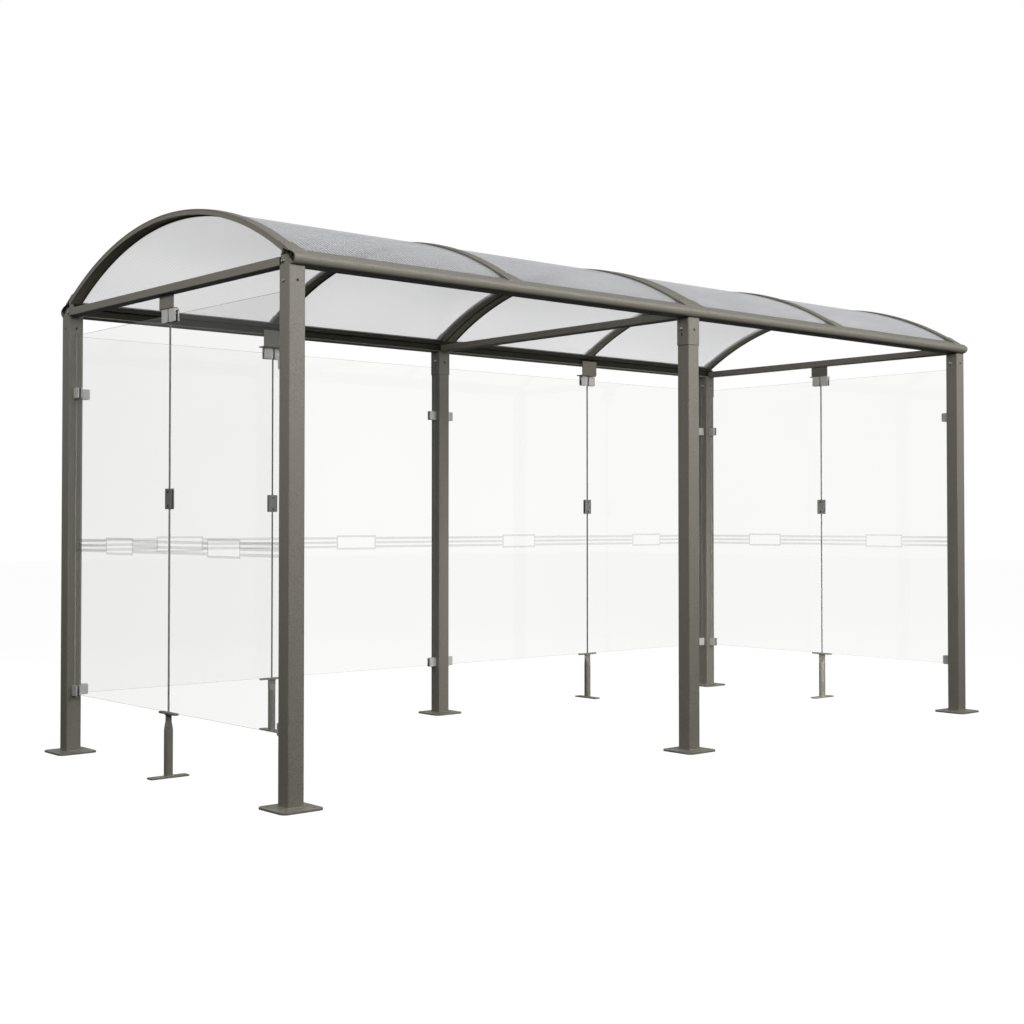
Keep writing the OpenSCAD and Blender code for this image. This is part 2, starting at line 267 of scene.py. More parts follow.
def drilled(thing, holes, sides=24, angle=35):
    """Holes cut right through a piece; each is (centre, axis, radius, length), a cylinder about its
    centre."""
    rods = [turned([(0, -n / 2), (r, -n / 2), (r, n / 2), (0, n / 2)], c, a, sides) for c, a, r, n in holes]
    cutter = solid("cutter", rods)
    cut = thing.modifiers.new("holes", "BOOLEAN")
    cut.object = cutter
    cut.solver = "EXACT"
    bpy.context.view_layer.update()
    view = bpy.context.evaluated_depsgraph_get()
    mesh = bpy.data.meshes.new_from_object(thing.evaluated_get(view))
    thing.modifiers.clear()
    thing.data = mesh
    mesh.shade_smooth()
    mesh.set_sharp_from_angle(angle=math.radians(angle))
    bpy.data.objects.remove(cutter)
    return thing


def piece(thing, looks, nodes=(), even=True):
    """Gives a piece its finish or finishes, lets it ride on the frame and stand for its CAD nodes; the
    weighted normals keep large flats flat beside their small bevels."""
    for look in [looks] if isinstance(looks, str) else looks:
        thing.data.materials.append(finish(look))
    if even:
        shade = thing.modifiers.new("even shading", "WEIGHTED_NORMAL")
        shade.keep_sharp = True
        shade.weight = 100
    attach(thing, "root")
    if nodes:
        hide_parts(*nodes)
    return thing


def second_finish(thing, key, chosen):
    """Gives a piece's second finish to the faces for which `chosen` holds, of their centres or normals (n,
    3)."""
    values = np.empty(len(thing.data.polygons) * 3)
    thing.data.polygons.foreach_get(key, values)
    thing.data.polygons.foreach_set("material_index", chosen(values.reshape(-1, 3)).astype(np.int32))


# ------------------------------------------------------------------------------
# Finishes
# ------------------------------------------------------------------------------


def node(tree, kind, inputs=None, **settings):
    """Adds a node with its settings; each input takes a value, another node's output, or a node whose first
    live output is meant."""
    new = tree.nodes.new("ShaderNode" + kind)
    for key, value in settings.items():
        setattr(new, key, value)
    for key, value in (inputs or {}).items():
        if isinstance(value, bpy.types.Node):
            value = next(socket for socket in value.outputs if socket.enabled)
        if isinstance(value, bpy.types.NodeSocket):
            tree.links.new(value, new.inputs[key])
        else:
            new.inputs[key].default_value = value
    return new


def material(name, shader, *details):
    """A node material whose surface is the shader that the function `shader` builds in its tree."""
    made = bpy.data.materials.new(name)
    made.use_nodes = True
    made.node_tree.nodes.clear()
    node(made.node_tree, "OutputMaterial", {"Surface": shader(made.node_tree, *details)})
    return made


def powder_coat(tree, look):
    """Textured polyester powder coat, baked on steel and aluminium: a semi-gloss warm grey-brown film with a
    fine orange-peel grain and a faint metallic speckle. The grain is about 1 mm on the real film; it is drawn
    at 5 mm so that it shows."""
    place = node(tree, "TexCoord").outputs["Object"]
    grain = node(tree, "TexNoise", {"Vector": place, "Scale": 1 / 0.0055, "Detail": 3.0, "Roughness": 0.65})
    broad = node(tree, "TexNoise", {"Vector": place, "Scale": 1 / 0.25, "Detail": 2.0})
    speck = node(tree, "MapRange", {"Value": grain, "From Min": 0.35, "From Max": 0.66})
    cloud = node(tree, "MapRange", {"Value": broad, "From Min": 0.3, "From Max": 0.7})
    tone = node(tree, "Mix", {"Factor": speck, "A": look["coat_dark"], "B": look["coat_light"]}, data_type="RGBA")
    drift = node(tree, "Mix", {"Factor": cloud, "A": tone, "B": look["coat_middle"]}, data_type="RGBA")
    rough = node(tree, "MapRange", {"Value": grain, "To Min": 0.36, "To Max": 0.5})
    bump = node(tree, "Bump", {"Height": grain, "Strength": 0.35, "Distance": 0.0004})
    return node(tree, "BsdfPrincipled", {"Base Color": drift, "Roughness": rough, "IOR": 1.5, "Normal": bump})


def cast_and_painted_shade(tree, look):
    """Dark painted die casting with a coarser pitted grain, darker than the frame; its dark colours and low gloss
    are also painted shade in the eave beams' channels and the caps' pockets.
    """
    place = node(tree, "TexCoord").outputs["Object"]
    pits = node(tree, "TexNoise", {"Vector": place, "Scale": 1 / 0.004, "Detail": 4.0, "Roughness": 0.65})
    tone = node(tree, "Mix", {"Factor": pits, "A": look["cast_dark"], "B": look["cast_light"]}, data_type="RGBA")
    bump = node(tree, "Bump", {"Height": pits, "Strength": 0.5, "Distance": 0.0006})
    return node(tree, "BsdfPrincipled", {"Base Color": tone, "Roughness": 0.6, "Specular IOR Level": 0.15,
                                         "Normal": bump})


def satin_steel(tree, look, dark="steel_dark", light="steel_light"):
    """Satin stainless steel, belt-ground: cold light grey metal whose fine 0.5 mm grind marks, drawn 2 mm
    apart, run along the piece and spread its gloss."""
    place = node(tree, "TexCoord").outputs["Object"]
    stretch = node(tree, "Mapping", {"Vector": place, "Scale": (1.0, 1.0, 0.08)})
    grind = node(tree, "TexNoise", {"Vector": stretch, "Scale": 1 / 0.002, "Detail": 3.0})
    tone = node(tree, "Mix", {"Factor": grind, "A": look[dark], "B": look[light]}, data_type="RGBA")
    rough = node(tree, "MapRange", {"Value": grind, "To Min": 0.42, "To Max": 0.58})
    return node(tree, "BsdfPrincipled", {"Base Color": tone, "Metallic": 0.5, "Roughness": rough})


def dull_steel(tree, look):
    """The joint plates' blasted steel: the same metal, darker."""
    return satin_steel(tree, look, "dull_dark", "dull_light")


def bright_zinc(tree, look):
    """Zinc-plated bolt heads: a bright hard metal with small highlights."""
    place = node(tree, "TexCoord").outputs["Object"]
    film = node(tree, "TexNoise", {"Vector": place, "Scale": 1 / 0.006, "Detail": 2.0})
    tone = node(tree, "Mix", {"Factor": film, "A": look["zinc_dark"], "B": look["zinc_light"]}, data_type="RGBA")
    rough = node(tree, "MapRange", {"Value": film, "To Min": 0.12, "To Max": 0.24})
    return node(tree, "BsdfPrincipled", {"Base Color": tone, "Metallic": 1.0, "Roughness": rough})


def black_rubber(tree, look):
    """EPDM gasket rubber: matt near-black with a light bloom."""
    place = node(tree, "TexCoord").outputs["Object"]
    bloom = node(tree, "TexNoise", {"Vector": place, "Scale": 1 / 0.008, "Detail": 3.0})
    tone = node(tree, "Mix", {"Factor": bloom, "A": look["rubber_dark"], "B": look["rubber_light"]},
                data_type="RGBA")
    return node(tree, "BsdfPrincipled", {"Base Color": tone, "Roughness": 0.7})


def near_side(tree):
    """1 on the faces that are seen from outside the piece, 0 on those that are seen from within."""
    inside = node(tree, "NewGeometry").outputs["Backfacing"]
    return node(tree, "Math", {0: 1.0, 1: inside}, operation="SUBTRACT")


def outward_mirror(tree, ior):
    """How much a clear sheet mirrors: both its faces' reflections together, 2F / (1 + F), on the face that is
    seen from outside, so that the far face adds none."""
    once = node(tree, "Fresnel", {"IOR": ior})
    twice = node(tree, "Math", {0: once, 1: 2.0}, operation="MULTIPLY")
    more = node(tree, "Math", {0: once, 1: 1.0}, operation="ADD")
    both = node(tree, "Math", {0: twice, 1: more}, operation="DIVIDE")
    return node(tree, "Math", {0: both, 1: near_side(tree)}, operation="MULTIPLY")


def clear_glass(tree, look):
    """Clear toughened float glass, 8 mm: nearly all light goes straight on, a little taken away as a
    grey-white tint, and it mirrors its surroundings more the flatter it is looked along."""
    place = node(tree, "TexCoord").outputs["Object"]
    haze = node(tree, "TexNoise", {"Vector": place, "Scale": 1.3, "Detail": 1.0})
    tint = node(tree, "Mix", {"Factor": haze, "A": look["glass_tint"], "B": look["glass_tint_light"]},
                data_type="RGBA")
    through = node(tree, "BsdfTransparent", {"Color": tint})
    mirror = node(tree, "BsdfGlossy", {"Color": WHITE, "Roughness": 0.0})
    return node(tree, "MixShader", {0: outward_mirror(tree, 1.33), 1: through, 2: mirror})


def glass_edge(tree, look):
    """Ground and polished glass edge: the light gathered in the pane leaves it here, so it is grey-green and
    denser than the face."""
    place = node(tree, "TexCoord").outputs["Object"]
    grind = node(tree, "TexNoise", {"Vector": place, "Scale": 1 / 0.02, "Detail": 2.0})
    tone = node(tree, "Mix", {"Factor": grind, "A": look["edge_dark"], "B": look["edge_light"]}, data_type="RGBA")
    return node(tree, "BsdfPrincipled", {"Base Color": tone, "Roughness": 0.25, "Alpha": 0.45})


def ceramic_print(tree, look):
    """Ceramic frit fired on the glass: thin satin grey marks that let most of the light through."""
    place = node(tree, "TexCoord").outputs["Object"]
    dots = node(tree, "TexNoise", {"Vector": place, "Scale": 1 / 0.004, "Detail": 1.0})
    cover = node(tree, "MapRange", {"Value": dots, "To Min": 0.13, "To Max": 0.17})
    return node(tree, "BsdfPrincipled", {"Base Color": look["print_colour"], "Roughness": 0.6, "Alpha": cover})


def flute_walls(tree, flute, clear, gone):
    """How much of an inner wall shows at a place of a skin: 1 on the walls, which stand every flute along X,
    and 0 between. They show through their own skin only, and fade from the slant `clear` to the slant `gone`,
    where the sheet is looked along so flatly that each line of sight crosses several."""
    along = node(tree, "SeparateXYZ", {"Vector": node(tree, "TexCoord").outputs["Object"]})
    count = node(tree, "Math", {0: along, 1: 1 / flute}, operation="MULTIPLY")
    phase = node(tree, "Math", {0: count, 1: 1.0}, operation="FRACT")
    away = node(tree, "Math", {0: phase, 1: 0.5}, operation="SUBTRACT")
    near = node(tree, "Math", {0: away}, operation="ABSOLUTE")
    stripe = node(tree, "MapRange", {"Value": near, "From Min": 0.14, "From Max": 0.36})
    slant = node(tree, "LayerWeight", {"Blend": 0.5}).outputs["Facing"]
    fade = node(tree, "MapRange", {"Value": slant, "From Min": clear, "From Max": gone, "To Min": 1.0,
                                   "To Max": 0.0})
    shown = node(tree, "Math", {0: stripe, 1: fade}, operation="MULTIPLY")
    return node(tree, "Math", {0: shown, 1: near_side(tree)}, operation="MULTIPLY")


def milkiness(tree, wall, low, high, line):
    """Share of the light that a skin spreads instead of letting it straight through: more where it is looked
    along flatly, and more by `line` on the inner walls."""
    slant = node(tree, "LayerWeight", {"Blend": 0.5}).outputs["Facing"]
    base = node(tree, "MapRange", {"Value": slant, "From Min": 0.55, "From Max": 0.95, "To Min": low,
                                   "To Max": high})
    extra = node(tree, "Math", {0: wall, 1: line}, operation="MULTIPLY")
    return node(tree, "Math", {0: base, 1: extra}, operation="ADD")


def milky_skin(tree, look, tone, share, mirror, rough):
    """A skin of twin-wall sheet: a share of milk, which spreads light to both sides alike, the rest clear,
    and a share of gloss over both."""
    body = node(tree, "BsdfDiffuse", {"Color": tone})
    spread = node(tree, "BsdfTranslucent", {"Color": tone})
    milk = node(tree, "MixShader", {0: 0.5, 1: body, 2: spread})
    through = node(tree, "BsdfTransparent", {"Color": look["sheet_through"]})
    under = node(tree, "MixShader", {0: share, 1: through, 2: milk})
    gloss = node(tree, "BsdfGlossy", {"Color": WHITE, "Roughness": rough})
    return node(tree, "MixShader", {0: mirror, 1: under, 2: gloss})


def outer_skin(tree, look):
    """Outer skin of twin-wall polycarbonate, extruded with inner walls and cold-bent: clear with a bluish
    milkiness, glossy on its outer face, the walls under it dark lines along the bend. A slow smoky drift in
    the tone is a painted reflection of the surroundings."""
    wall = flute_walls(tree, look["flute"], 0.74, 0.92)
    place = node(tree, "TexCoord").outputs["Object"]
    # The slow noise below draws a painted reflection of the surroundings, between the light and the smoky sheet
    # tone.
    drift = node(tree, "TexNoise", {"Vector": place, "Scale": 1.6, "Detail": 1.5, "Roughness": 0.4})
    painted_reflection = node(tree, "MapRange", {"Value": drift, "From Min": 0.35, "From Max": 0.7})
    tone = node(tree, "Mix", {"Factor": painted_reflection, "A": look["sheet_light"], "B": look["sheet_dark"]}, data_type="RGBA")
    lined = node(tree, "Mix", {"Factor": wall, "A": tone, "B": look["sheet_line"]}, data_type="RGBA")
    share = milkiness(tree, wall, 0.16, 0.30, 0.50)
    return milky_skin(tree, look, lined, share, outward_mirror(tree, 1.585), 0.04)


def inner_skin(tree, look):
    """Inner skin of the same sheet, satin and milky, with the inner walls as soft grey stripes along the
    bend: less light comes through where a wall stands."""
    wall = flute_walls(tree, look["flute"], 0.45, 0.82)
    tone = node(tree, "Mix", {"Factor": wall, "A": look["sheet_inner"], "B": look["sheet_dark"]}, data_type="RGBA")
    return milky_skin(tree, look, tone, milkiness(tree, wall, 0.36, 1.0, 0.06), 0.03, 0.25)


MAKERS = {
    "coat": ("textured_powder_coat", powder_coat),
    "cast": ("painted_die_casting", cast_and_painted_shade),
    "steel": ("satin_stainless_steel", satin_steel),
    "dull steel": ("blasted_stainless_steel", dull_steel),
    "zinc": ("bright_zinc_plating", bright_zinc),
    "rubber": ("black_gasket_rubber", black_rubber),
    "glass": ("clear_toughened_glass", clear_glass),
    "edge": ("ground_glass_edge", glass_edge),
    "print": ("fired_ceramic_print", ceramic_print),
    "outer skin": ("twin_wall_polycarbonate_outer", outer_skin),
    "inner skin": ("twin_wall_polycarbonate_inner", inner_skin),
}
FINISHES = {}


def finish(name):
    """One of the shelter's finishes, made the first time it is asked for from the colours in the panel."""
    if name not in FINISHES:
        colours = bpy.context.scene.shelter_finish
        look = {key: tuple(getattr(colours, key)) for key in ColourSettings.__annotations__}
        look["flute"] = bpy.context.scene.shelter_roof.flute
        title, shader = MAKERS[name]
        FINISHES[name] = material(title, shader, look)
    return FINISHES[name]


# ------------------------------------------------------------------------------
# Settings
# ------------------------------------------------------------------------------


def length(name, text, value):
    """A size in metres for the panel."""
    return bpy.props.FloatProperty(name=name, description=text, default=value, min=0.0, unit="LENGTH", precision=4)


def colour(name, text, code):
    """A colour for the panel, from its sRGB hex value."""
    return bpy.props.FloatVectorProperty(name=name, description=text, default=paint(code), size=4, min=0.0,
                                         max=1.0, subtype="COLOR")


class FrameSettings(bpy.types.PropertyGroup):
    """Sizes of the steel frame."""

    post: length("Post width", "Outside width of the square posts", 0.080)
    post_wall: length("Post wall", "Wall of the posts", 0.003)
    post_corner: length("Post corner", "Outside corner radius of the posts", 0.0055)
    plate_thick: length("Base plate", "Thickness of the base plates", 0.010)
    plate_corner: length("Base plate corner", "Corner radius of the base plates", 0.030)
    anchor_pitch: length("Anchor spacing", "Distance between anchor holes", 0.140)
    anchor_hole: length("Anchor hole", "Diameter of the anchor holes", 0.014)
    sleeve_wall: length("Sleeve wall", "Wall of the sleeves round the posts' tops", 0.004)
    weld: length("Weld", "Leg of the weld bead round each foot", 0.005)
    bolt_hole: length("Wall hole", "Diameter of the holes near the posts' tops", 0.012)
    bolt_height: length("Bolt height", "Height of the bolts near the posts' tops", 2.220)
    nose_radius: length("Nose radius", "Radius of the eave beams' round nose", 0.028)


class RoofSettings(bpy.types.PropertyGroup):
    """Sizes of the roof."""

    rib: length("Rib width", "Width of the arched ribs", 0.065)
    rib_depth: length("Rib depth", "Depth of the arched ribs", 0.029)
    rib_proud: length("Rib cap", "How far the ribs' caps stand above the sheets", 0.009)
    sheet: length("Sheet", "Thickness of the twin-wall sheets", 0.010)
    flute: length("Flute", "Spacing of the sheets' inner walls", 0.0195)
    ripple: length("Ripple", "Height of the ripple over the inner walls", 0.0004)


class GlassSettings(bpy.types.PropertyGroup):
    """Sizes of the glazing and its fittings."""

    stripe: length("Stripe", "Height of each printed stripe", 0.014)
    stripe_gap: length("Stripe spacing", "Distance between the stripes' middles", 0.0255)
    stripe_height: length("Stripe height", "Height of the middle stripe", 1.084)
    box_width: length("Box width", "Width of the printed box", 0.290)
    box_height: length("Box height", "Height of the printed box", 0.086)
    box_line: length("Box line", "Width of the box's outline", 0.011)
    clamp: length("Clamp length", "Length of an edge clamp along the glass", 0.052)
    clamp_height: length("Clamp height", "Height of an edge clamp", 0.055)


class ColourSettings(bpy.types.PropertyGroup):
    """Colours of the finishes."""

    coat_dark: colour("Coat, dark", "Darker grains of the powder coat", "#5F5B53")
    coat_middle: colour("Coat, middle", "Mean tone of the powder coat", "#6F6C63")
    coat_light: colour("Coat, light", "Lighter grains of the powder coat", "#7E7B71")
    # The casting colours are a dark casting, darkened further as painted shade for the eave beams' channels and the
    # caps' pockets.
    cast_dark: colour("Casting, dark", "Hollows of the cast caps", "#1F1F1A")
    cast_light: colour("Casting, light", "Raised parts of the cast caps", "#37362F")
    steel_dark: colour("Steel, dark", "Darker marks of the satin steel", "#C2C1BC")
    steel_light: colour("Steel, light", "Lighter marks of the satin steel", "#E4E3DF")
    dull_dark: colour("Joint plates, dark", "Darker marks of the joint plates", "#6F6E6A")
    dull_light: colour("Joint plates, light", "Lighter marks of the joint plates", "#94938E")
    zinc_dark: colour("Zinc, dark", "Darker parts of the bolt heads", "#C9C8C2")
    zinc_light: colour("Zinc, light", "Lighter parts of the bolt heads", "#DEDDD8")
    rubber_dark: colour("Rubber, dark", "Darker parts of the seals and pads", "#1B1C1A")
    rubber_light: colour("Rubber, light", "Lighter parts of the seals and pads", "#30302D")
    glass_tint: colour("Glass tint", "What one face of the glass lets through", "#FDFDFC")
    glass_tint_light: colour("Glass tint, light", "The same where the glass is clearer", "#FEFEFE")
    edge_dark: colour("Glass edge, dark", "Darker parts of the ground edges", "#8E938F")
    edge_light: colour("Glass edge, light", "Lighter parts of the ground edges", "#A9AEAA")
    print_colour: colour("Print", "Printed marks on the glass", "#828683")
    # The outer skin's light and smoky tones vary as a painted reflection of the surroundings; the smoky tone is also
    # the inner skin's wall stripes.
    sheet_light: colour("Sheet, light", "Lighter parts of the roof sheets' outer skin", "#F2F2F2")
    sheet_dark: colour("Sheet, smoky", "Smokier parts of the outer skin, and the inner skin's lines", "#C9CACE")
    sheet_inner: colour("Sheet, inner skin", "Milk of the roof sheets' inner skin", "#DEDEDF")
    sheet_line: colour("Sheet lines", "Inner walls seen through the outer skin", "#6C6D72")
    sheet_through: colour("Sheet, through", "Tint of what shows through one skin", "#FFFFFF")


# ------------------------------------------------------------------------------
# Frame
# ------------------------------------------------------------------------------

POSTS = ["post_" + row + side for row in ("front_", "back_") for side in ("left", "middle", "right")]
SLEEVED = ("post_front_middle", "post_back_middle", "post_back_right")
OPEN_POST = "post_back_left"
BOLT_ASIDE = 0.007  # how far the bolts sit from the posts' middles, towards the inside
CROSSES = ("cross_beam_left", "cross_beam_middle", "cross_beam_right")
RIBS = ("roof_rib_left_end", "roof_rib_left", "roof_rib_middle", "roof_rib_right", "roof_rib_right_end")
SHEETS = ("roof_sheet_1", "roof_sheet_2", "roof_sheet_3", "roof_sheet_4")
PANES = ("glass_left_front", "glass_left_back", "glass_right_front", "glass_right_back", "glass_back_1",
         "glass_back_2", "glass_back_3", "glass_back_4")
STANDS = ("stand_left", "stand_back_left", "stand_back_right", "stand_right")
HANGERS = ("hanger_left", "hanger_back_left", "hanger_back_right", "hanger_right")


def post_places():
    """Each post's name, plan centre, and the sign of its front (-1) or back (+1) row."""
    return [(name, centre_of(name)[:2], -1 if "front" in name else 1) for name in POSTS]


def post_line():
    """How far each row of posts stands from the middle of the shelter."""
    return abs(centre_of(POSTS[0])[1])


def wall_holes(name, middle, row, size):
    """Where a post's top is drilled: in its front and back faces, on the middle posts also below the bolt,
    and on the post without a bolt in all four faces. Each is (centre, axis, radius, length)."""
    x, y = middle
    z = size.bolt_height
    half = size.post / 2
    places = [((x, y + way * half, z), (0, 1, 0)) for way in (-1, 1)]
    if name == OPEN_POST:
        places += [((x + way * half, y, z), (1, 0, 0)) for way in (-1, 1)]
    if "middle" in name:
        places += [((x + way * half, y - row * BOLT_ASIDE, z - 0.025), (1, 0, 0)) for way in (-1, 1)]
    return [(centre, axis, size.bolt_hole / 2, BORE) for centre, axis in places]


class SHELTER_OT_posts(bpy.types.Operator):
    """Six square posts, each welded to a base plate with four anchor holes"""

    bl_idname = "shelter.posts"
    bl_label = "Posts"

    def execute(self, context):
        size = context.scene.shelter_frame
        half = size.anchor_pitch / 2
        for name, middle, row in post_places():
            low, high = corners(name)
            x, y = middle
            wide = high[0] - low[0]
            bore = size.post - 2 * size.post_wall
            outer = rounded(size.post, size.post, size.post_corner)
            inner = rounded(bore, bore, size.post_corner - size.post_wall)
            pipe = tube(outer, inner, size.plate_thick - 0.001, high[2], (x, y, 0))
            shaft = drilled(solid(name + "_shaft", [pipe]), wall_holes(name, middle, row, size))
            piece(shaft, "coat", [name])
            plate = slab(wide, wide, size.plate_thick, (x, y, size.plate_thick / 2), radius=size.plate_corner,
                         bevel=0.0016, steps=9)
            spots = [(x + a * half, y + b * half, size.plate_thick / 2) for a in (-1, 1) for b in (-1, 1)]
            holes = [(spot, (0, 0, 1), size.anchor_hole / 2, BORE) for spot in spots]
            foot = drilled(solid(name + "_plate", [plate]), holes)
            piece(foot, "coat")
            leg = size.weld
            bead = [(leg, 0.0), (leg * 0.55, leg * 0.25), (leg * 0.25, leg * 0.55), (0.0, leg), (-0.0015, leg),
                    (-0.0015, 0.0)]
            loops = [rounded(size.post + 2 * a, size.post + 2 * a, size.post_corner + a) for a, b in bead]
            rows = [size.plate_thick - 0.0005 + b for a, b in bead]
            weld = skin(placed(loops, rows, (x, y, 0)), round_rows=True)
            piece(solid(name + "_weld", [weld], 60), "coat")
        return {"FINISHED"}


class SHELTER_OT_sleeves(bpy.types.Operator):
    """Reinforcing sleeves round the tops of three posts"""

    bl_idname = "shelter.sleeves"
    bl_label = "Post sleeves"

    def execute(self, context):
        size = context.scene.shelter_frame
        low, high = corners("post_sleeves")
        width = size.post + 2 * size.sleeve_wall
        corner = size.post_corner + size.sleeve_wall
        inset, deep = quarter_round(0.0012)
        outer = [rounded(width - 2 * k, width - 2 * k, corner - k) for k in inset]
        inner = rounded(size.post, size.post, size.post_corner)
        loops = outer + [outer[-1], inner, inner]
        rows = [*(low[2] + deep), high[2], high[2], low[2]]
        shells = []
        holes = []
        for name, middle, row in post_places():
            if name in SLEEVED:
                shells.append(skin(placed(loops, rows, (*middle, 0)), round_rows=True))
                holes += wall_holes(name, middle, row, size)
        sleeves = drilled(solid("post_sleeve_tubes", shells), holes)
        piece(sleeves, "coat", ["post_sleeves"])
        return {"FINISHED"}


def eave_section(size):
    """Section of an eave beam as (out from the post line, up from the beam's foot), anticlockwise: web with a
    channel, flat foot, a spline over the sloping top, and the round nose, an arc from 16 degrees above level
    to straight down."""
    r = size.nose_radius
    nose = np.array((0.073 - r, r))
    arc = nose + r * turns(-90, 16, 14)
    top = spline([arc[-1], (0.064, 0.0435), (0.049, 0.0535), (0.013, 0.0655), (-0.0215, 0.0785)], 5)[1:]
    back = np.array([(-0.0225, 0.0787), (-0.0235, 0.0775), (-0.034, 0.058), (-0.0393, 0.0505), (-0.040, 0.049),
                     (-0.040, 0.0475), (-0.040, 0.0455), (-0.0394, 0.0450), (-0.0225, 0.0450), (-0.0220, 0.0445),
                     (-0.0220, 0.0065), (-0.0225, 0.0060), (-0.0394, 0.0060), (-0.040, 0.0055), (-0.040, 0.0030),
                     (-0.0393, 0.0010), (-0.0378, 0.0), (-0.0360, 0.0)])
    return np.concatenate([arc, top, back])


def takes_painted_shade(out, up):
    """Whether a place of the eave section lies in its channel or on the back of its raised edge, which take the dark
    cast finish as painted shade."""
    groove = (out > -0.0398) & (out < -0.0215) & (up > 0.005) & (up < 0.046)
    return groove | ((out < -0.023) & (up > 0.046))


class SHELTER_OT_eave_beams(bpy.types.Operator):
    """Hollow eave beams along the front and the back, with a sloping top and a round nose"""

    bl_idname = "shelter.eave_beams"
    bl_label = "Eave beams"

    def execute(self, context):
        size = context.scene.shelter_frame
        loop = eave_section(size)
        line = post_line()
        for name, row in (("eave_beam_front", -1), ("eave_beam_back", 1)):
            low, high = corners(name)
            beam = bar(loop, low[0], high[0], (0, row * line, low[2]), u=(0, row, 0))
            thing = piece(solid(name + "_extrusion", [beam], 24), ("coat", "cast"), [name])
            # The channel and the back of the raised edge get the dark cast finish: painted shade where the beam is
            # in shadow.
            second_finish(thing, "center", lambda c: takes_painted_shade(row * c[:, 1] - line, c[:, 2] - low[2]))
        return {"FINISHED"}


class SHELTER_OT_eave_caps(bpy.types.Operator):
    """Cast caps on the eave beams' ends: a rim along the section, a flat plate with a bolt, and a deep
    pocket"""

    bl_idname = "shelter.eave_caps"
    bl_label = "Eave caps"

    def execute(self, context):
        size = context.scene.shelter_frame
        loop = eave_section(size)
        line = post_line()
        for side, name in ((-1, "eave_caps_left"), (1, "eave_caps_right")):
            low, high = corners(name)
            x_in = high[0] if side < 0 else low[0]
            depth = high[0] - low[0]
            shells = []
            faces = []
            screws = []
            bolts = []
            for row in (-1, 1):
                place = dict(origin=(x_in, row * line, low[2]), u=(0, row, 0), v=(0, 0, 1), w=(side, 0, 0))
                shells.append(bar(drawn_in(loop, 0.0012), 0.0, depth * 0.4, **place))
                ease = [(0.0, 0.0), (depth - 0.0025, 0.0), (depth - 0.001, 0.0005), (depth, 0.0018), (depth, 0.0032),
                        (depth * 0.45, 0.0035), (0.0, 0.0035)]
                rim = placed([drawn_in(loop, d) for x, d in ease], [x for x, d in ease], **place)
                faces.append(skin(rim, round_rows=True))
                plate = np.array([(-0.0385, 0.0015), (0.0365, 0.0015), (0.0375, 0.003), (-0.0085, 0.0440),
                                  (-0.0100, 0.0445), (-0.0385, 0.0445)])
                faces.append(bar(plate, 0.001, depth - 0.0006, bevel=0.0008, **place))
                flange = np.array([(0.0400, 0.0020), (0.0440, 0.0030), (-0.0015, 0.0470), (-0.0045, 0.0440)])
                faces.append(bar(flange, 0.001, depth - 0.001, bevel=0.0008, **place))
                hooks = (((0.046, 0.030), 0.0145, 200, 20), ((0.014, 0.056), 0.008, 215, 30))
                for centre, reach, first, last in hooks:
                    ring = turns(first, last, 14)
                    outer = np.array(centre) + (reach + 0.0011) * ring
                    inner = np.array(centre) + (reach - 0.0011) * ring
                    shells.append(bar(np.concatenate([inner, outer[::-1]]), 0.001, depth - 0.003, **place))
                for a, b in ((0.0600, 0.0120), (0.0440, 0.0300)):
                    at = (x_in + side * depth * 0.42, row * (line + a), low[2] + b)
                    screws += dome_bolt(at, (side, 0, 0), 0.0045, 0.0035, 0.0016)
                at = (x_in + side * (depth - 0.0008), row * (line - 0.021), low[2] + 0.0200)
                bolts += dome_bolt(at, (side, 0, 0), 0.0125, 0.0080, 0.0)
            # The pockets and their hooks take the dark cast finish: a dark casting, darkened as painted shade in the
            # deep pockets.
            piece(solid(name + "_pockets", shells, 40), "cast")
            piece(solid(name + "_castings", faces, 40), "coat", [name])
            piece(solid(name + "_screws", screws), "zinc")
            piece(solid(name + "_bolts", bolts, 50), "zinc")
        return {"FINISHED"}


class SHELTER_OT_cross_beams(bpy.types.Operator):
    """Three square tubes across the shelter, between the eave beams"""

    bl_idname = "shelter.cross_beams"
    bl_label = "Cross-beams"

    def execute(self, context):
        wall = 0.0025
        for name in CROSSES:
            low, high = corners(name)
            wide, _, tall = high - low
            outer = rounded(wide, tall, 0.004)
            inner = rounded(wide - 2 * wall, tall - 2 * wall, 0.002)
            x, _, z = centre_of(name)
            pipe = tube(outer, inner, low[1], high[1], (x, 0, z), (1, 0, 0), (0, 0, 1), (0, 1, 0))
            piece(solid(name + "_tube", [pipe]), "coat", [name])
        return {"FINISHED"}


# ------------------------------------------------------------------------------
# Roof
# ------------------------------------------------------------------------------


def roof_arc():
    """Radius and centre height of the roof's arc, and the angle at which the ribs end, from a rib's box: with
    rise s and half chord c of its crown line, R = (c^2 + s^2) / 2s."""
    low, high = corners(RIBS[2])
    depth = bpy.context.scene.shelter_roof.rib_depth
    half = high[1]
    # At the ends half = R sin a, and the foot of the box is a rib's depth below the crown line.
    radius = 2.0
    for _ in range(60):
        a = math.asin(half / radius)
        rise = high[2] - low[2] - depth * math.cos(a)
        radius = (half * half + rise * rise) / (2 * rise)
    return radius, high[2] - radius, math.asin(half / radius)


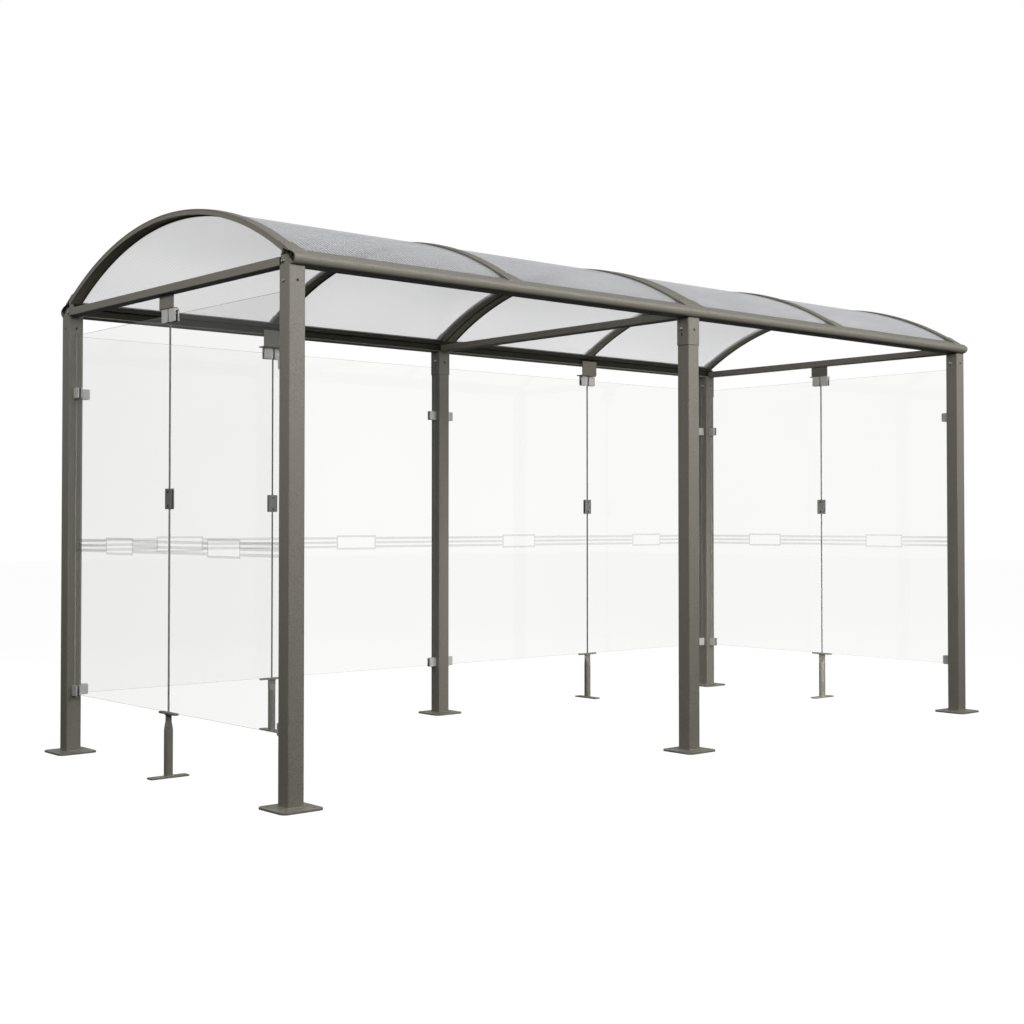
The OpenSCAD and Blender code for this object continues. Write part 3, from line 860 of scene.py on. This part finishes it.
def rib_section(size):
    """Section of a rib as (across, up from its crown): a crowned cap over the sheets' edges, a groove for
    each sheet, and below it a body of full width whose two lips stand beside a shallow channel."""
    w = size.rib / 2
    p = size.rib_proud
    s = size.sheet
    d = size.rib_depth
    right = np.array([
        (w - 0.0005, -p + 0.0012), (w, -p + 0.0020), (w, -0.0052), (w - 0.0006, -0.0040), (w - 0.0020, -0.0029),
        (w - 0.0060, -0.0019), (w * 0.5, -0.0007), (0.0, 0.0)])
    left = right[::-1][1:] * (-1, 1)
    foot = np.array([
        (-w + 0.0005, -p - s - 0.0008), (-w, -p - s - 0.0014), (-w, -d + 0.0012), (-w + 0.0006, -d + 0.0003),
        (-w + 0.0014, -d), (-w + 0.0034, -d), (-w + 0.0040, -d + 0.0006), (-w + 0.0040, -d + 0.0066),
        (-w + 0.0046, -d + 0.0072), (-0.0006, -d + 0.0072)])
    waist = w - 0.0152
    slot_left = np.array([(-waist, -p + 0.0004), (-waist, -p - s - 0.0004)])
    slot_right = slot_left[::-1] * (-1, 1)
    under = foot[::-1] * (-1, 1)
    return np.concatenate([right, left, slot_left, foot, under, slot_right])


def rib_places():
    """Each arch as (node, x, the sides that hold a sheet); the middle node is two ribs back to back."""
    half = bpy.context.scene.shelter_roof.rib / 2
    found = []
    for name, sides in zip(RIBS, ((1,), (-1, 1), None, (-1, 1), (-1,))):
        x = centre_of(name)[0]
        found += [(name, x, sides)] if sides else [(name, x - half, (-1,)), (name, x + half, (1,))]
    return found


def rib_shoe(x, row, radius, centre_z, size, spread):
    """Cast shoe from a rib's end down over the beam's sloping top: its top follows the arc z = zc + sqrt(R^2
    - y^2) and then a straight slope, and its right side flares out by `spread` towards the eave."""
    line = post_line()
    out = np.array([-0.058, -0.046, -0.032, -0.018, -0.008, 0.002, 0.011, 0.0165, 0.0175])
    arc = centre_z + np.sqrt((radius + 0.0012) ** 2 - (line + np.minimum(out, -0.017)) ** 2)
    slope = np.maximum(out + 0.018, 0) * 0.60
    top = arc - slope
    top[-1] -= 0.0016
    flare = spread * np.clip((out + 0.058) / 0.070, 0, 1) ** 1.3
    w = size.rib / 2 + 0.0006
    deep = np.where(out < -0.017, 0.007, 0.005)
    across = np.stack([-w + 0 * out, w + flare, w + flare, -w + 0 * out], 1)
    up = np.stack([top, top, top - deep, top - deep], 1)
    grid = np.stack([x + across, np.broadcast_to(row * (line + out)[:, None], across.shape), up], -1)
    return skin(grid)


class SHELTER_OT_ribs(bpy.types.Operator):
    """Six arched ribs with a crowned cap, sheet grooves and channelled underside, their shoes and screws"""

    bl_idname = "shelter.ribs"
    bl_label = "Roof ribs"

    def execute(self, context):
        size = context.scene.shelter_roof
        radius, centre_z, end = roof_arc()
        angles = np.linspace(-end, end, 97)
        loop = rib_section(size)
        screws = []
        strips = []
        seals = []
        shoes = []
        arches = {name: [] for name in RIBS}
        w = size.rib / 2
        p = size.rib_proud
        for name, x, sides in rib_places():
            arches[name].append(arched(loop, angles, radius, centre_z, x))
            for side in (-1, 1):
                if side in sides:
                    strip = np.array([(w - 0.004, -p + 0.0012), (w + 0.0016, -p + 0.0006),
                                      (w + 0.0018, -p + 0.0001), (w - 0.004, -p + 0.0001)])
                    seals.append(arched(strip * (side, 1), angles, radius, centre_z, x))
                else:
                    under = -p - size.sheet - 0.0002
                    strip = np.array([(w - 0.016, -p + 0.0002), (w - 0.0012, -p + 0.0002), (w - 0.0012, under),
                                      (w - 0.016, under)])
                    strips.append(arched(strip * (side, 1), angles, radius, centre_z, x))
            for row in (-1, 1):
                shoes.append(rib_shoe(x, row, radius, centre_z, size, 0.027 if 1 in sides else 0.0))
                a = row * (end - 0.030 / radius)
                out = np.array((0, math.sin(a), math.cos(a)))
                for across in (0.013, -0.013):
                    at = np.array((x + across, 0, centre_z)) + (radius + 0.0006) * out
                    screws += dome_bolt(at, out, 0.0052, 0.0032, 0.0016)
                a = row * (end - 0.045 / radius)
                out = np.array((0, math.sin(a), math.cos(a)))
                at = np.array((x, 0, centre_z)) + (radius - size.rib_depth + 0.0072) * out
                screws += dome_bolt(at, -out, 0.0050, 0.0034, 0.0016)
        for name, shells in arches.items():
            piece(solid(name + "_arch", shells, 24), "coat", [name])
        piece(solid("roof_rib_shoes", shoes, 30), "coat")
        piece(solid("roof_rib_end_strips", strips, 40), "coat")
        piece(solid("roof_rib_seals", seals, 40), "rubber")
        piece(solid("roof_rib_screws", screws), "zinc")
        return {"FINISHED"}


class SHELTER_OT_sheets(bpy.types.Operator):
    """Four bent twin-wall sheets with rippled skins and open fluted ends"""

    bl_idname = "shelter.sheets"
    bl_label = "Roof sheets"

    def execute(self, context):
        size = context.scene.shelter_roof
        radius, centre_z, _ = roof_arc()
        top = radius - size.rib_proud
        for name in SHEETS:
            low, high = corners(name)
            end = math.asin(high[1] / top)
            angles = np.linspace(-end, end, 61)
            count = int(round((high[0] - low[0]) / size.flute))
            across = np.linspace(low[0], high[0], count * 4 + 1)
            dip = size.ripple * np.sin(np.pi * (across / size.flute)) ** 2
            a = angles[:, None]
            skins = []
            for reach in (top - dip, top - size.sheet + dip):
                skins.append(np.stack([across + 0 * a, reach * np.sin(a), centre_z + reach * np.cos(a)], -1))
            loop = np.concatenate([skins[0], skins[1][:, ::-1]], 1)
            shell = solid(name + "_skins", [skin(loop, ends=False)], 50)
            thing = piece(shell, ("outer skin", "inner skin"), [name])
            middle = top - size.sheet / 2
            second_finish(thing, "center", lambda c: np.hypot(c[:, 1], c[:, 2] - centre_z) < middle)
        return {"FINISHED"}


# ------------------------------------------------------------------------------
# Glass and fittings
# ------------------------------------------------------------------------------


def pane_axes(name):
    """A pane's directions: u along it, n through it and away from the shelter."""
    if "back_" in name:
        return np.array((1.0, 0, 0)), np.array((0, 1.0, 0))
    return np.array((0, 1.0, 0)), np.array((-1.0 if "left" in name else 1.0, 0, 0))


def pane_sizes(name):
    """A pane's width and thickness."""
    low, high = corners(name)
    along, through = pane_axes(name)
    return float(abs(np.dot(high - low, along))), float(abs(np.dot(high - low, through)))


class SHELTER_OT_glass(bpy.types.Operator):
    """Eight glass panes with rounded corners and ground edges"""

    bl_idname = "shelter.glass"
    bl_label = "Glass panes"

    def execute(self, context):
        for name in PANES:
            low, high = corners(name)
            along, through = pane_axes(name)
            wide, thick = pane_sizes(name)
            sheet = slab(wide, high[2] - low[2], thick, centre_of(name), along, UP, radius=0.004, bevel=0.0008)
            pane = piece(solid(name + "_pane", [sheet], 20), ("glass", "edge"), [name])
            second_finish(pane, "normal", lambda n: np.abs(n @ through) <= 0.99)
        return {"FINISHED"}


class SHELTER_OT_stripes(bpy.types.Operator):
    """Three printed stripes across every pane, broken by a plain box with a thin outline"""

    bl_idname = "shelter.stripes"
    bl_label = "Printed stripes"

    def execute(self, context):
        size = context.scene.shelter_glass
        thin = 0.0003
        line = size.box_line
        for name in PANES:
            along, through = pane_axes(name)
            wide, thick = pane_sizes(name)
            face = centre_of(name) + through * (thick / 2 + thin / 2 + 0.0001)
            face[2] = size.stripe_height
            run = (wide - size.box_width) / 2 - 0.004
            marks = []
            for side in (-1, 1):
                beside = face + along * side * (size.box_width + run) / 2
                marks += [(run, size.stripe, beside + UP * k * size.stripe_gap) for k in (-1, 0, 1)]
                marks.append((line, size.box_height, face + along * side * (size.box_width - line) / 2))
                marks.append((size.box_width - 2 * line, line, face + UP * side * (size.box_height - line) / 2))
            shells = [slab(w, h, thin, at, along, UP, 0.0004, 0.0001, 1) for w, h, at in marks]
            piece(solid(name + "_print", shells), "print", even=False)
        return {"FINISHED"}


class SHELTER_OT_stands(bpy.types.Operator):
    """Four stands under the glass joints: foot plate, tube crushed flat at its top, and a rounded rest bar"""

    bl_idname = "shelter.stands"
    bl_label = "Stands"

    def execute(self, context):
        for name in STANDS:
            x, y = centre_of(name)[:2]
            side = name in ("stand_left", "stand_right")
            along = np.array((0, 1.0, 0)) if side else np.array((1.0, 0, 0))
            across = np.array((1.0, 0, 0)) if side else np.array((0, -1.0, 0))
            foot = slab(0.200, 0.050, 0.008, (x, y, 0.004), across, along, radius=0.006, bevel=0.0012)
            holes = [((x, y, 0.004) + way * 0.0675 * across, (0, 0, 1), 0.0055, BORE) for way in (-1, 1)]
            plate = drilled(solid(name + "_foot", [foot]), holes)
            piece(plate, "coat")
            t = np.arange(48) * 2 * np.pi / 48
            round_loop = 0.021 * np.stack([np.cos(t), np.sin(t)], 1)
            power = 0.32
            flat_loop = np.stack([0.0240 * np.sign(np.cos(t)) * np.abs(np.cos(t)) ** power,
                                  0.0050 * np.sign(np.sin(t)) * np.abs(np.sin(t)) ** power], 1)
            heights = np.array([0.008, 0.060, 0.160, 0.222, 0.232, 0.242, 0.252, 0.262, 0.270, 0.277, 0.284, 0.298])
            share = np.clip((heights - 0.222) / 0.055, 0, 1)
            share = (share * share * (3 - 2 * share))[:, None, None]
            loops = round_loop * (1 - share) + flat_loop * share
            stem = skin(placed(loops, heights, (x, y, 0), along, across))
            rest = slab(0.160, 0.030, 0.009, (x, y, 0.3025), along, across, radius=0.0135, bevel=0.0012, steps=9)
            lug = slab(0.046, 0.022, 0.0045, (x, y, 0.2965), along, across, radius=0.004, bevel=0.001)
            piece(solid(name + "_stem", [stem, rest, lug], 40), "coat", [name])
            ring = [(0.0250, 0.0), (0.0225, 0.0018), (0.0212, 0.0045), (0.0200, 0.0045), (0.0200, 0.0)]
            weld = turned(ring, (x, y, 0.0078), (0, 0, 1), 36, round_profile=True)
            piece(solid(name + "_weld", [weld], 60), "coat")
        return {"FINISHED"}


class SHELTER_OT_hangers(bpy.types.Operator):
    """Bent plates that hold the glass tops to the eave and cross-beams"""

    bl_idname = "shelter.hangers"
    bl_label = "Hangers"

    def execute(self, context):
        for name in HANGERS:
            low, high = corners(name)
            x, y, _ = centre_of(name)
            long, deep, tall = high - low
            thick = 0.006
            if name in ("hanger_left", "hanger_right"):
                out = math.copysign(1.0, x)
                reach, wide = long, deep
                u, w = np.array((-out, 0, 0)), np.array((0, 1.0, 0))
                origin = (high[0] if out > 0 else low[0], y, low[2])
            else:
                reach, wide = deep, long
                u, w = np.array((0, 1.0, 0)), np.array((1.0, 0, 0))
                origin = (x, low[1], low[2])
            bend = turns(180, 270, 7)
            heel = 0.008 + 0.008 * bend
            throat = 0.008 + 0.002 * bend[::-1]
            loop = np.concatenate([
                [(0.0, tall - 0.0006), (0.0, 0.009)], heel,
                [(0.009, 0.0), (reach, 0.0), (reach, thick), (0.009, thick)], throat,
                [(thick, 0.009), (thick, tall - 0.0006), (thick - 0.0006, tall), (0.0006, tall)]])
            plate = bar(loop, -wide / 2, wide / 2, origin, u, (0, 0, 1), w, bevel=0.0008)
            piece(solid(name + "_plate", [plate], 40), "coat", [name])
        return {"FINISHED"}


CLAMPS = ("edge_clamps_left", "edge_clamps_back", "edge_clamps_right")
PLATE_OFF = 0.0093  # from the middle of the glass to the middle of a clamp's plate
PLATE_THICK = 0.0074
PAD_OFF = 0.0048  # the same for its rubber
PAD_THICK = 0.0015
SCREW_OFF = 0.0124  # the same for its screw's head
CLAMP_SCREW = [(0, -0.002), (0.0052, -0.002), (0.0052, 0.0002), (0.0046, 0.0005), (0.0024, 0.0005),
               (0.0022, -0.0015), (0, -0.0016)]


def clamp_places():
    """Every edge clamp as (node, middle, direction along the pane away from the post, direction through
    it)."""
    size = bpy.context.scene.shelter_glass
    found = []
    low, high = corners(CLAMPS[0])
    posts = {name: middle for name, middle, row in post_places()}
    half = bpy.context.scene.shelter_frame.post / 2 + size.clamp / 2
    for z in (low[2] + size.clamp_height / 2, high[2] - size.clamp_height / 2):
        for side, x in (("left", -1.0), ("right", 1.0)):
            glass = centre_of("glass_" + side + "_front")[0]
            for row, y in (("front", 1.0), ("back", -1.0)):
                at = np.array((glass, posts["post_" + row + "_" + side][1] + y * half, z))
                found.append(("edge_clamps_" + side, at, np.array((0, y, 0)), np.array((x, 0, 0))))
        for name, way in (("left", 1.0), ("middle", -1.0), ("middle", 1.0), ("right", -1.0)):
            post = posts["post_back_" + name]
            at = np.array((post[0] + way * half, post[1], z))
            found.append(("edge_clamps_back", at, np.array((way, 0, 0)), np.array((0, 1.0, 0))))
    return found


def clamp_pieces(name, node_name, plates, pads, screws):
    """The pieces of one group of clamps."""
    piece(solid(name + "_plates", plates, 40), "steel", [node_name])
    piece(solid(name + "_pads", pads), "rubber")
    piece(solid(name + "_screws", screws), "zinc")


class SHELTER_OT_clamps(bpy.types.Operator):
    """Edge clamps on the posts and paired clamps under the hangers: two satin plates on rubber, with a
    screw"""

    bl_idname = "shelter.clamps"
    bl_label = "Glass clamps"

    def execute(self, context):
        size = context.scene.shelter_glass
        wide, tall = size.clamp, size.clamp_height
        for node_name in CLAMPS:
            plates = []
            pads = []
            screws = []
            for name, at, along, through in clamp_places():
                if name != node_name:
                    continue
                for side in (-1, 1):
                    face = at + through * side * PLATE_OFF
                    plates.append(slab(wide, tall, PLATE_THICK, face, along, UP, 0.006, 0.0014))
                    face = at + through * side * PAD_OFF + along * 0.004
                    pads.append(slab(wide - 0.010, tall - 0.002, PAD_THICK, face, along, UP, 0.003, 0.0003))
                    head = at + through * side * SCREW_OFF - along * 0.008
                    screws.append(turned(CLAMP_SCREW, head, through * side, 20))
                heel = at - along * (wide / 2 - 0.007)
                plates.append(slab(0.012, tall - 0.006, 0.0125, heel, along, UP, 0.001, 0.0006))
            clamp_pieces(node_name, node_name, plates, pads, screws)
        low, high = corners("top_clamps")
        tall = high[2] - low[2]
        plates = []
        pads = []
        screws = []
        for along, through, at in joint_places():
            for side in (-1, 1):
                middle = at + along * side * 0.0345
                middle[2] = low[2] + tall / 2
                for out in (-through, through):
                    face = middle + out * PLATE_OFF
                    plates.append(slab(0.058, tall, PLATE_THICK, face, along, UP, 0.005, 0.0014))
                    face = middle + out * PAD_OFF - UP * 0.014
                    pads.append(slab(0.054, 0.034, PAD_THICK, face, along, UP, 0.003, 0.0003))
                    screws.append(turned(CLAMP_SCREW, middle + out * SCREW_OFF + UP * 0.010, out, 20))
                crown = middle + UP * (tall / 2 - 0.0062)
                plates.append(slab(0.056, 0.010, 0.0124, crown, along, UP, 0.001, 0.0006))
        clamp_pieces("top_clamp", "top_clamps", plates, pads, screws)
        return {"FINISHED"}


def joint_places():
    """Each joint between two panes as (direction along the glass, direction out through it, middle point)."""
    found = []
    for first, second in (("left_front", "left_back"), ("right_front", "right_back"), ("back_1", "back_2"),
                          ("back_3", "back_4")):
        along, through = pane_axes("glass_" + first)
        at = centre_of("glass_" + first)
        gap = (corners("glass_" + first)[1] + corners("glass_" + second)[0]) / 2
        at = np.where(along > 0, gap, at) * (1, 1, 0)
        found.append((along, through, at))
    return found


class SHELTER_OT_joints(bpy.types.Operator):
    """Plates across each glass joint at mid height with two screws, and the seal that fills the joint"""

    bl_idname = "shelter.joints"
    bl_label = "Joint plates"

    def execute(self, context):
        low, high = corners("joint_plates")
        glass_low, glass_high = corners("glass_back_1")
        plates = []
        screws = []
        seals = []
        for along, through, at in joint_places():
            for out in (through, -through):
                face = at + out * 0.0066 + UP * (low[2] + high[2]) / 2
                plates.append(slab(0.058, high[2] - low[2], 0.0048, face, along, UP, 0.004, 0.0012))
                for way in (-1, 1):
                    head = face + out * 0.0024 + UP * way * 0.033
                    screws += dome_bolt(head, out, 0.0055, 0.0026, 0.0024)
            strip = at + UP * (glass_low[2] + glass_high[2]) / 2
            tall = glass_high[2] - glass_low[2] - 0.004
            seals.append(slab(0.0050, tall, 0.0066, strip, along, UP, 0.0008, 0.0004, 2))
        piece(solid("joint_plate_set", plates, 40), "dull steel", ["joint_plates"])
        piece(solid("joint_plate_screws", screws), "rubber")
        piece(solid("joint_seals", seals), "rubber")
        return {"FINISHED"}


class SHELTER_OT_bolts(bpy.types.Operator):
    """Dome bolts through the posts' tops, and the rings of the drilled holes"""

    bl_idname = "shelter.bolts"
    bl_label = "Bolts"

    def execute(self, context):
        size = context.scene.shelter_frame
        heads = []
        rings = []
        for name, middle, row in post_places():
            x, y = middle
            half = size.post / 2 + (size.sleeve_wall if name in SLEEVED else 0.0)
            z = size.bolt_height + (0.006 if "middle" in name else 0.0)
            for side in (-1, 1):
                if name != OPEN_POST:
                    at = (x + side * half, y - row * BOLT_ASIDE, z)
                    heads += dome_bolt(at, (side, 0, 0), 0.0110, 0.0050, 0.0)
                face = (x, y + side * (half - 0.0003), size.bolt_height)
                rings.append(flat_washer(face, (0, side, 0), size.bolt_hole * 0.86, size.bolt_hole * 0.5, 0.0009))
        piece(solid("post_bolts", heads, 50), "zinc")
        piece(solid("post_hole_rings", rings, 50), "coat")
        return {"FINISHED"}


# ------------------------------------------------------------------------------
# Stage
# ------------------------------------------------------------------------------


EYE = (-5.978824, -6.425352, 1.194596)
EYE_PITCH = 0.0208234158  # radians above level
EYE_TURN = -0.716930074  # radians from straight ahead
LENS = 52.971  # millimetres, on a sensor 36 mm wide
LENS_SHIFT = (0.00433, -0.01881)


def lamp(name, place, aim, width, height, power):
    """A soft panel lamp of the given size at a place, turned towards a point."""
    data = bpy.data.lights.new(name, "AREA")
    data.shape = "RECTANGLE"
    data.size = width
    data.size_y = height
    data.energy = power
    thing = bpy.data.objects.new(name, data)
    bpy.context.scene.collection.objects.link(thing)
    back = -unit(np.array(aim, float) - np.array(place, float))
    side = unit(np.cross((0, 0, 1), back))
    over = np.cross(back, side)
    rows = [(side[i], over[i], back[i], place[i]) for i in range(3)]
    thing.matrix_world = Matrix([*rows, (0, 0, 0, 1)])
    return thing


def seen_straight(tree):
    """1 for the camera's rays, also those that glass lets through, and 0 for all others."""
    path = node(tree, "LightPath").outputs
    return node(tree, "Math", {0: path["Is Camera Ray"], 1: path["Is Transmission Ray"]}, operation="MAXIMUM")


def studio_floor(tree):
    """A studio sheet that is lit on its own: white to the eye, grey where glass mirrors it, and dark to the
    light that bounces off it; it keeps a faint shadow."""
    path = node(tree, "LightPath").outputs
    matt = node(tree, "BsdfDiffuse", {"Color": paint("#3C3C3C")})
    glow = node(tree, "Emission", {"Color": WHITE, "Strength": 0.975})
    white = node(tree, "AddShader", {0: matt, 1: glow})
    sharp = node(tree, "MapRange", {"Value": path["Is Singular Ray"], "To Min": 0.04, "To Max": 0.42})
    gloss = node(tree, "Emission", {"Color": WHITE, "Strength": sharp})
    dark = node(tree, "BsdfDiffuse", {"Color": paint("#333331")})
    other = node(tree, "MixShader", {0: path["Is Glossy Ray"], 1: dark, 2: gloss})
    return node(tree, "MixShader", {0: seen_straight(tree), 1: other, 2: white})


def studio_light(tree):
    """A white backdrop to the eye, a weak even light to matt surfaces, and to gloss a grey room that is
    darker above and on the left."""
    path = node(tree, "LightPath").outputs
    way = node(tree, "SeparateXYZ", {"Vector": node(tree, "TexCoord").outputs["Generated"]}).outputs
    rise = node(tree, "MapRange", {"Value": way["Z"], "From Min": 0.0, "From Max": 0.8})
    right = node(tree, "MapRange", {"Value": way["X"], "From Min": -0.7, "From Max": 0.9})
    level = node(tree, "Mix", {"Factor": right, "A": paint("#9D9E9F"), "B": paint("#D8D8D9")}, data_type="RGBA")
    grey = node(tree, "Mix", {"Factor": rise, "A": level, "B": paint("#7E8086")}, data_type="RGBA")
    plain = node(tree, "Background", {"Color": WHITE, "Strength": 0.10})
    shine = node(tree, "Background", {"Color": grey, "Strength": 1.0})
    white = node(tree, "Background", {"Color": WHITE, "Strength": 1.0})
    other = node(tree, "MixShader", {0: path["Is Glossy Ray"], 1: plain, 2: shine})
    return node(tree, "MixShader", {0: seen_straight(tree), 1: other, 2: white})


class SHELTER_OT_stage(bpy.types.Operator):
    """Camera at eye height off the left front corner, white floor and backdrop, soft panel lamps"""

    bl_idname = "shelter.stage"
    bl_label = "Stage"

    def execute(self, context):
        scene = context.scene
        camera = bpy.data.cameras.new("camera")
        camera.sensor_width = 36.0
        camera.lens = LENS
        camera.shift_x, camera.shift_y = LENS_SHIFT
        camera.clip_end = 200.0
        eye = bpy.data.objects.new("camera", camera)
        eye.location = EYE
        eye.rotation_euler = (math.pi / 2 + EYE_PITCH, 0.0, EYE_TURN)
        scene.collection.objects.link(eye)
        scene.camera = eye
        scene.view_settings.view_transform = "Standard"

        t = np.linspace(-40, 40, 9)
        ground = np.stack([*np.meshgrid(t, t, indexing="ij"), np.zeros((9, 9))], -1)
        floor = solid("floor", [skin(ground, round_cols=False)])
        if floor.data.polygons[0].normal.z < 0:
            floor.data.flip_normals()
        floor.location = (0, 0, -0.001)
        floor.data.materials.append(material("studio_floor", studio_floor))

        world = bpy.data.worlds.new("studio")
        world.use_nodes = True
        world.node_tree.nodes.clear()
        node(world.node_tree, "OutputWorld", {"Surface": studio_light(world.node_tree)})
        scene.world = world

        front = lamp("front_panel", (0.2, -4.4, 3.4), (0.2, -1.0, 1.8), 11.0, 1.4, 355.0)
        lamp("rim_panel", (0.2, -4.2, 4.3), (0.2, -1.0, 2.0), 11.0, 0.7, 70.0)
        fill = lamp("low_fill", (1.8, -0.9, 0.7), (1.8, 1.1, 0.5), 0.8, 1.0, 34.0)
        left = lamp("left_panel", (-6.0, -0.6, 4.4), (-2.5, -0.2, 1.9), 4.5, 1.2, 142.0)
        top = lamp("top_panel", (0.0, 0.6, 7.0), (0.0, 0.0, 2.0), 8.0, 4.0, 30.0)
        back = lamp("back_panel", (0.5, 5.6, 4.2), (0.0, 1.0, 1.6), 8.0, 1.6, 160.0)
        # Only the rim panel shines back from the gloss; the others would stand as white boards in the panes.
        for unseen in (front, fill, left, top, back):
            unseen.visible_glossy = False
        return {"FINISHED"}


# ------------------------------------------------------------------------------
# Panel and run
# ------------------------------------------------------------------------------

OPERATORS = (
    SHELTER_OT_posts,
    SHELTER_OT_sleeves,
    SHELTER_OT_eave_beams,
    SHELTER_OT_eave_caps,
    SHELTER_OT_cross_beams,
    SHELTER_OT_ribs,
    SHELTER_OT_sheets,
    SHELTER_OT_glass,
    SHELTER_OT_stripes,
    SHELTER_OT_stands,
    SHELTER_OT_hangers,
    SHELTER_OT_clamps,
    SHELTER_OT_joints,
    SHELTER_OT_bolts,
    SHELTER_OT_stage,
)
SETTINGS = {
    "shelter_frame": FrameSettings,
    "shelter_roof": RoofSettings,
    "shelter_glass": GlassSettings,
    "shelter_finish": ColourSettings,
}


class SHELTER_PT_panel(bpy.types.Panel):
    """Sidebar panel with the shelter's sizes, colours and building steps"""

    bl_idname = "SHELTER_PT_panel"
    bl_label = "Bike shelter"
    bl_space_type = "VIEW_3D"
    bl_region_type = "UI"
    bl_category = "Shelter"

    def draw(self, context):
        for group, kind in SETTINGS.items():
            box = self.layout.box()
            for key in kind.__annotations__:
                box.prop(getattr(context.scene, group), key)
        for step in OPERATORS:
            self.layout.operator(step.bl_idname)


def register():
    """Makes the settings, steps and panel known to Blender."""
    for kind in (*SETTINGS.values(), *OPERATORS, SHELTER_PT_panel):
        bpy.utils.register_class(kind)
    for group, kind in SETTINGS.items():
        setattr(bpy.types.Scene, group, bpy.props.PointerProperty(type=kind))


def unregister():
    """Takes them out again."""
    for group in SETTINGS:
        delattr(bpy.types.Scene, group)
    for kind in (SHELTER_PT_panel, *reversed(OPERATORS), *SETTINGS.values()):
        bpy.utils.unregister_class(kind)


def main():
    """Builds the shelter step by step."""
    register()
    for step in OPERATORS:
        group, action = step.bl_idname.split(".")
        getattr(getattr(bpy.ops, group), action)()


if __name__ == "__main__":
    main()
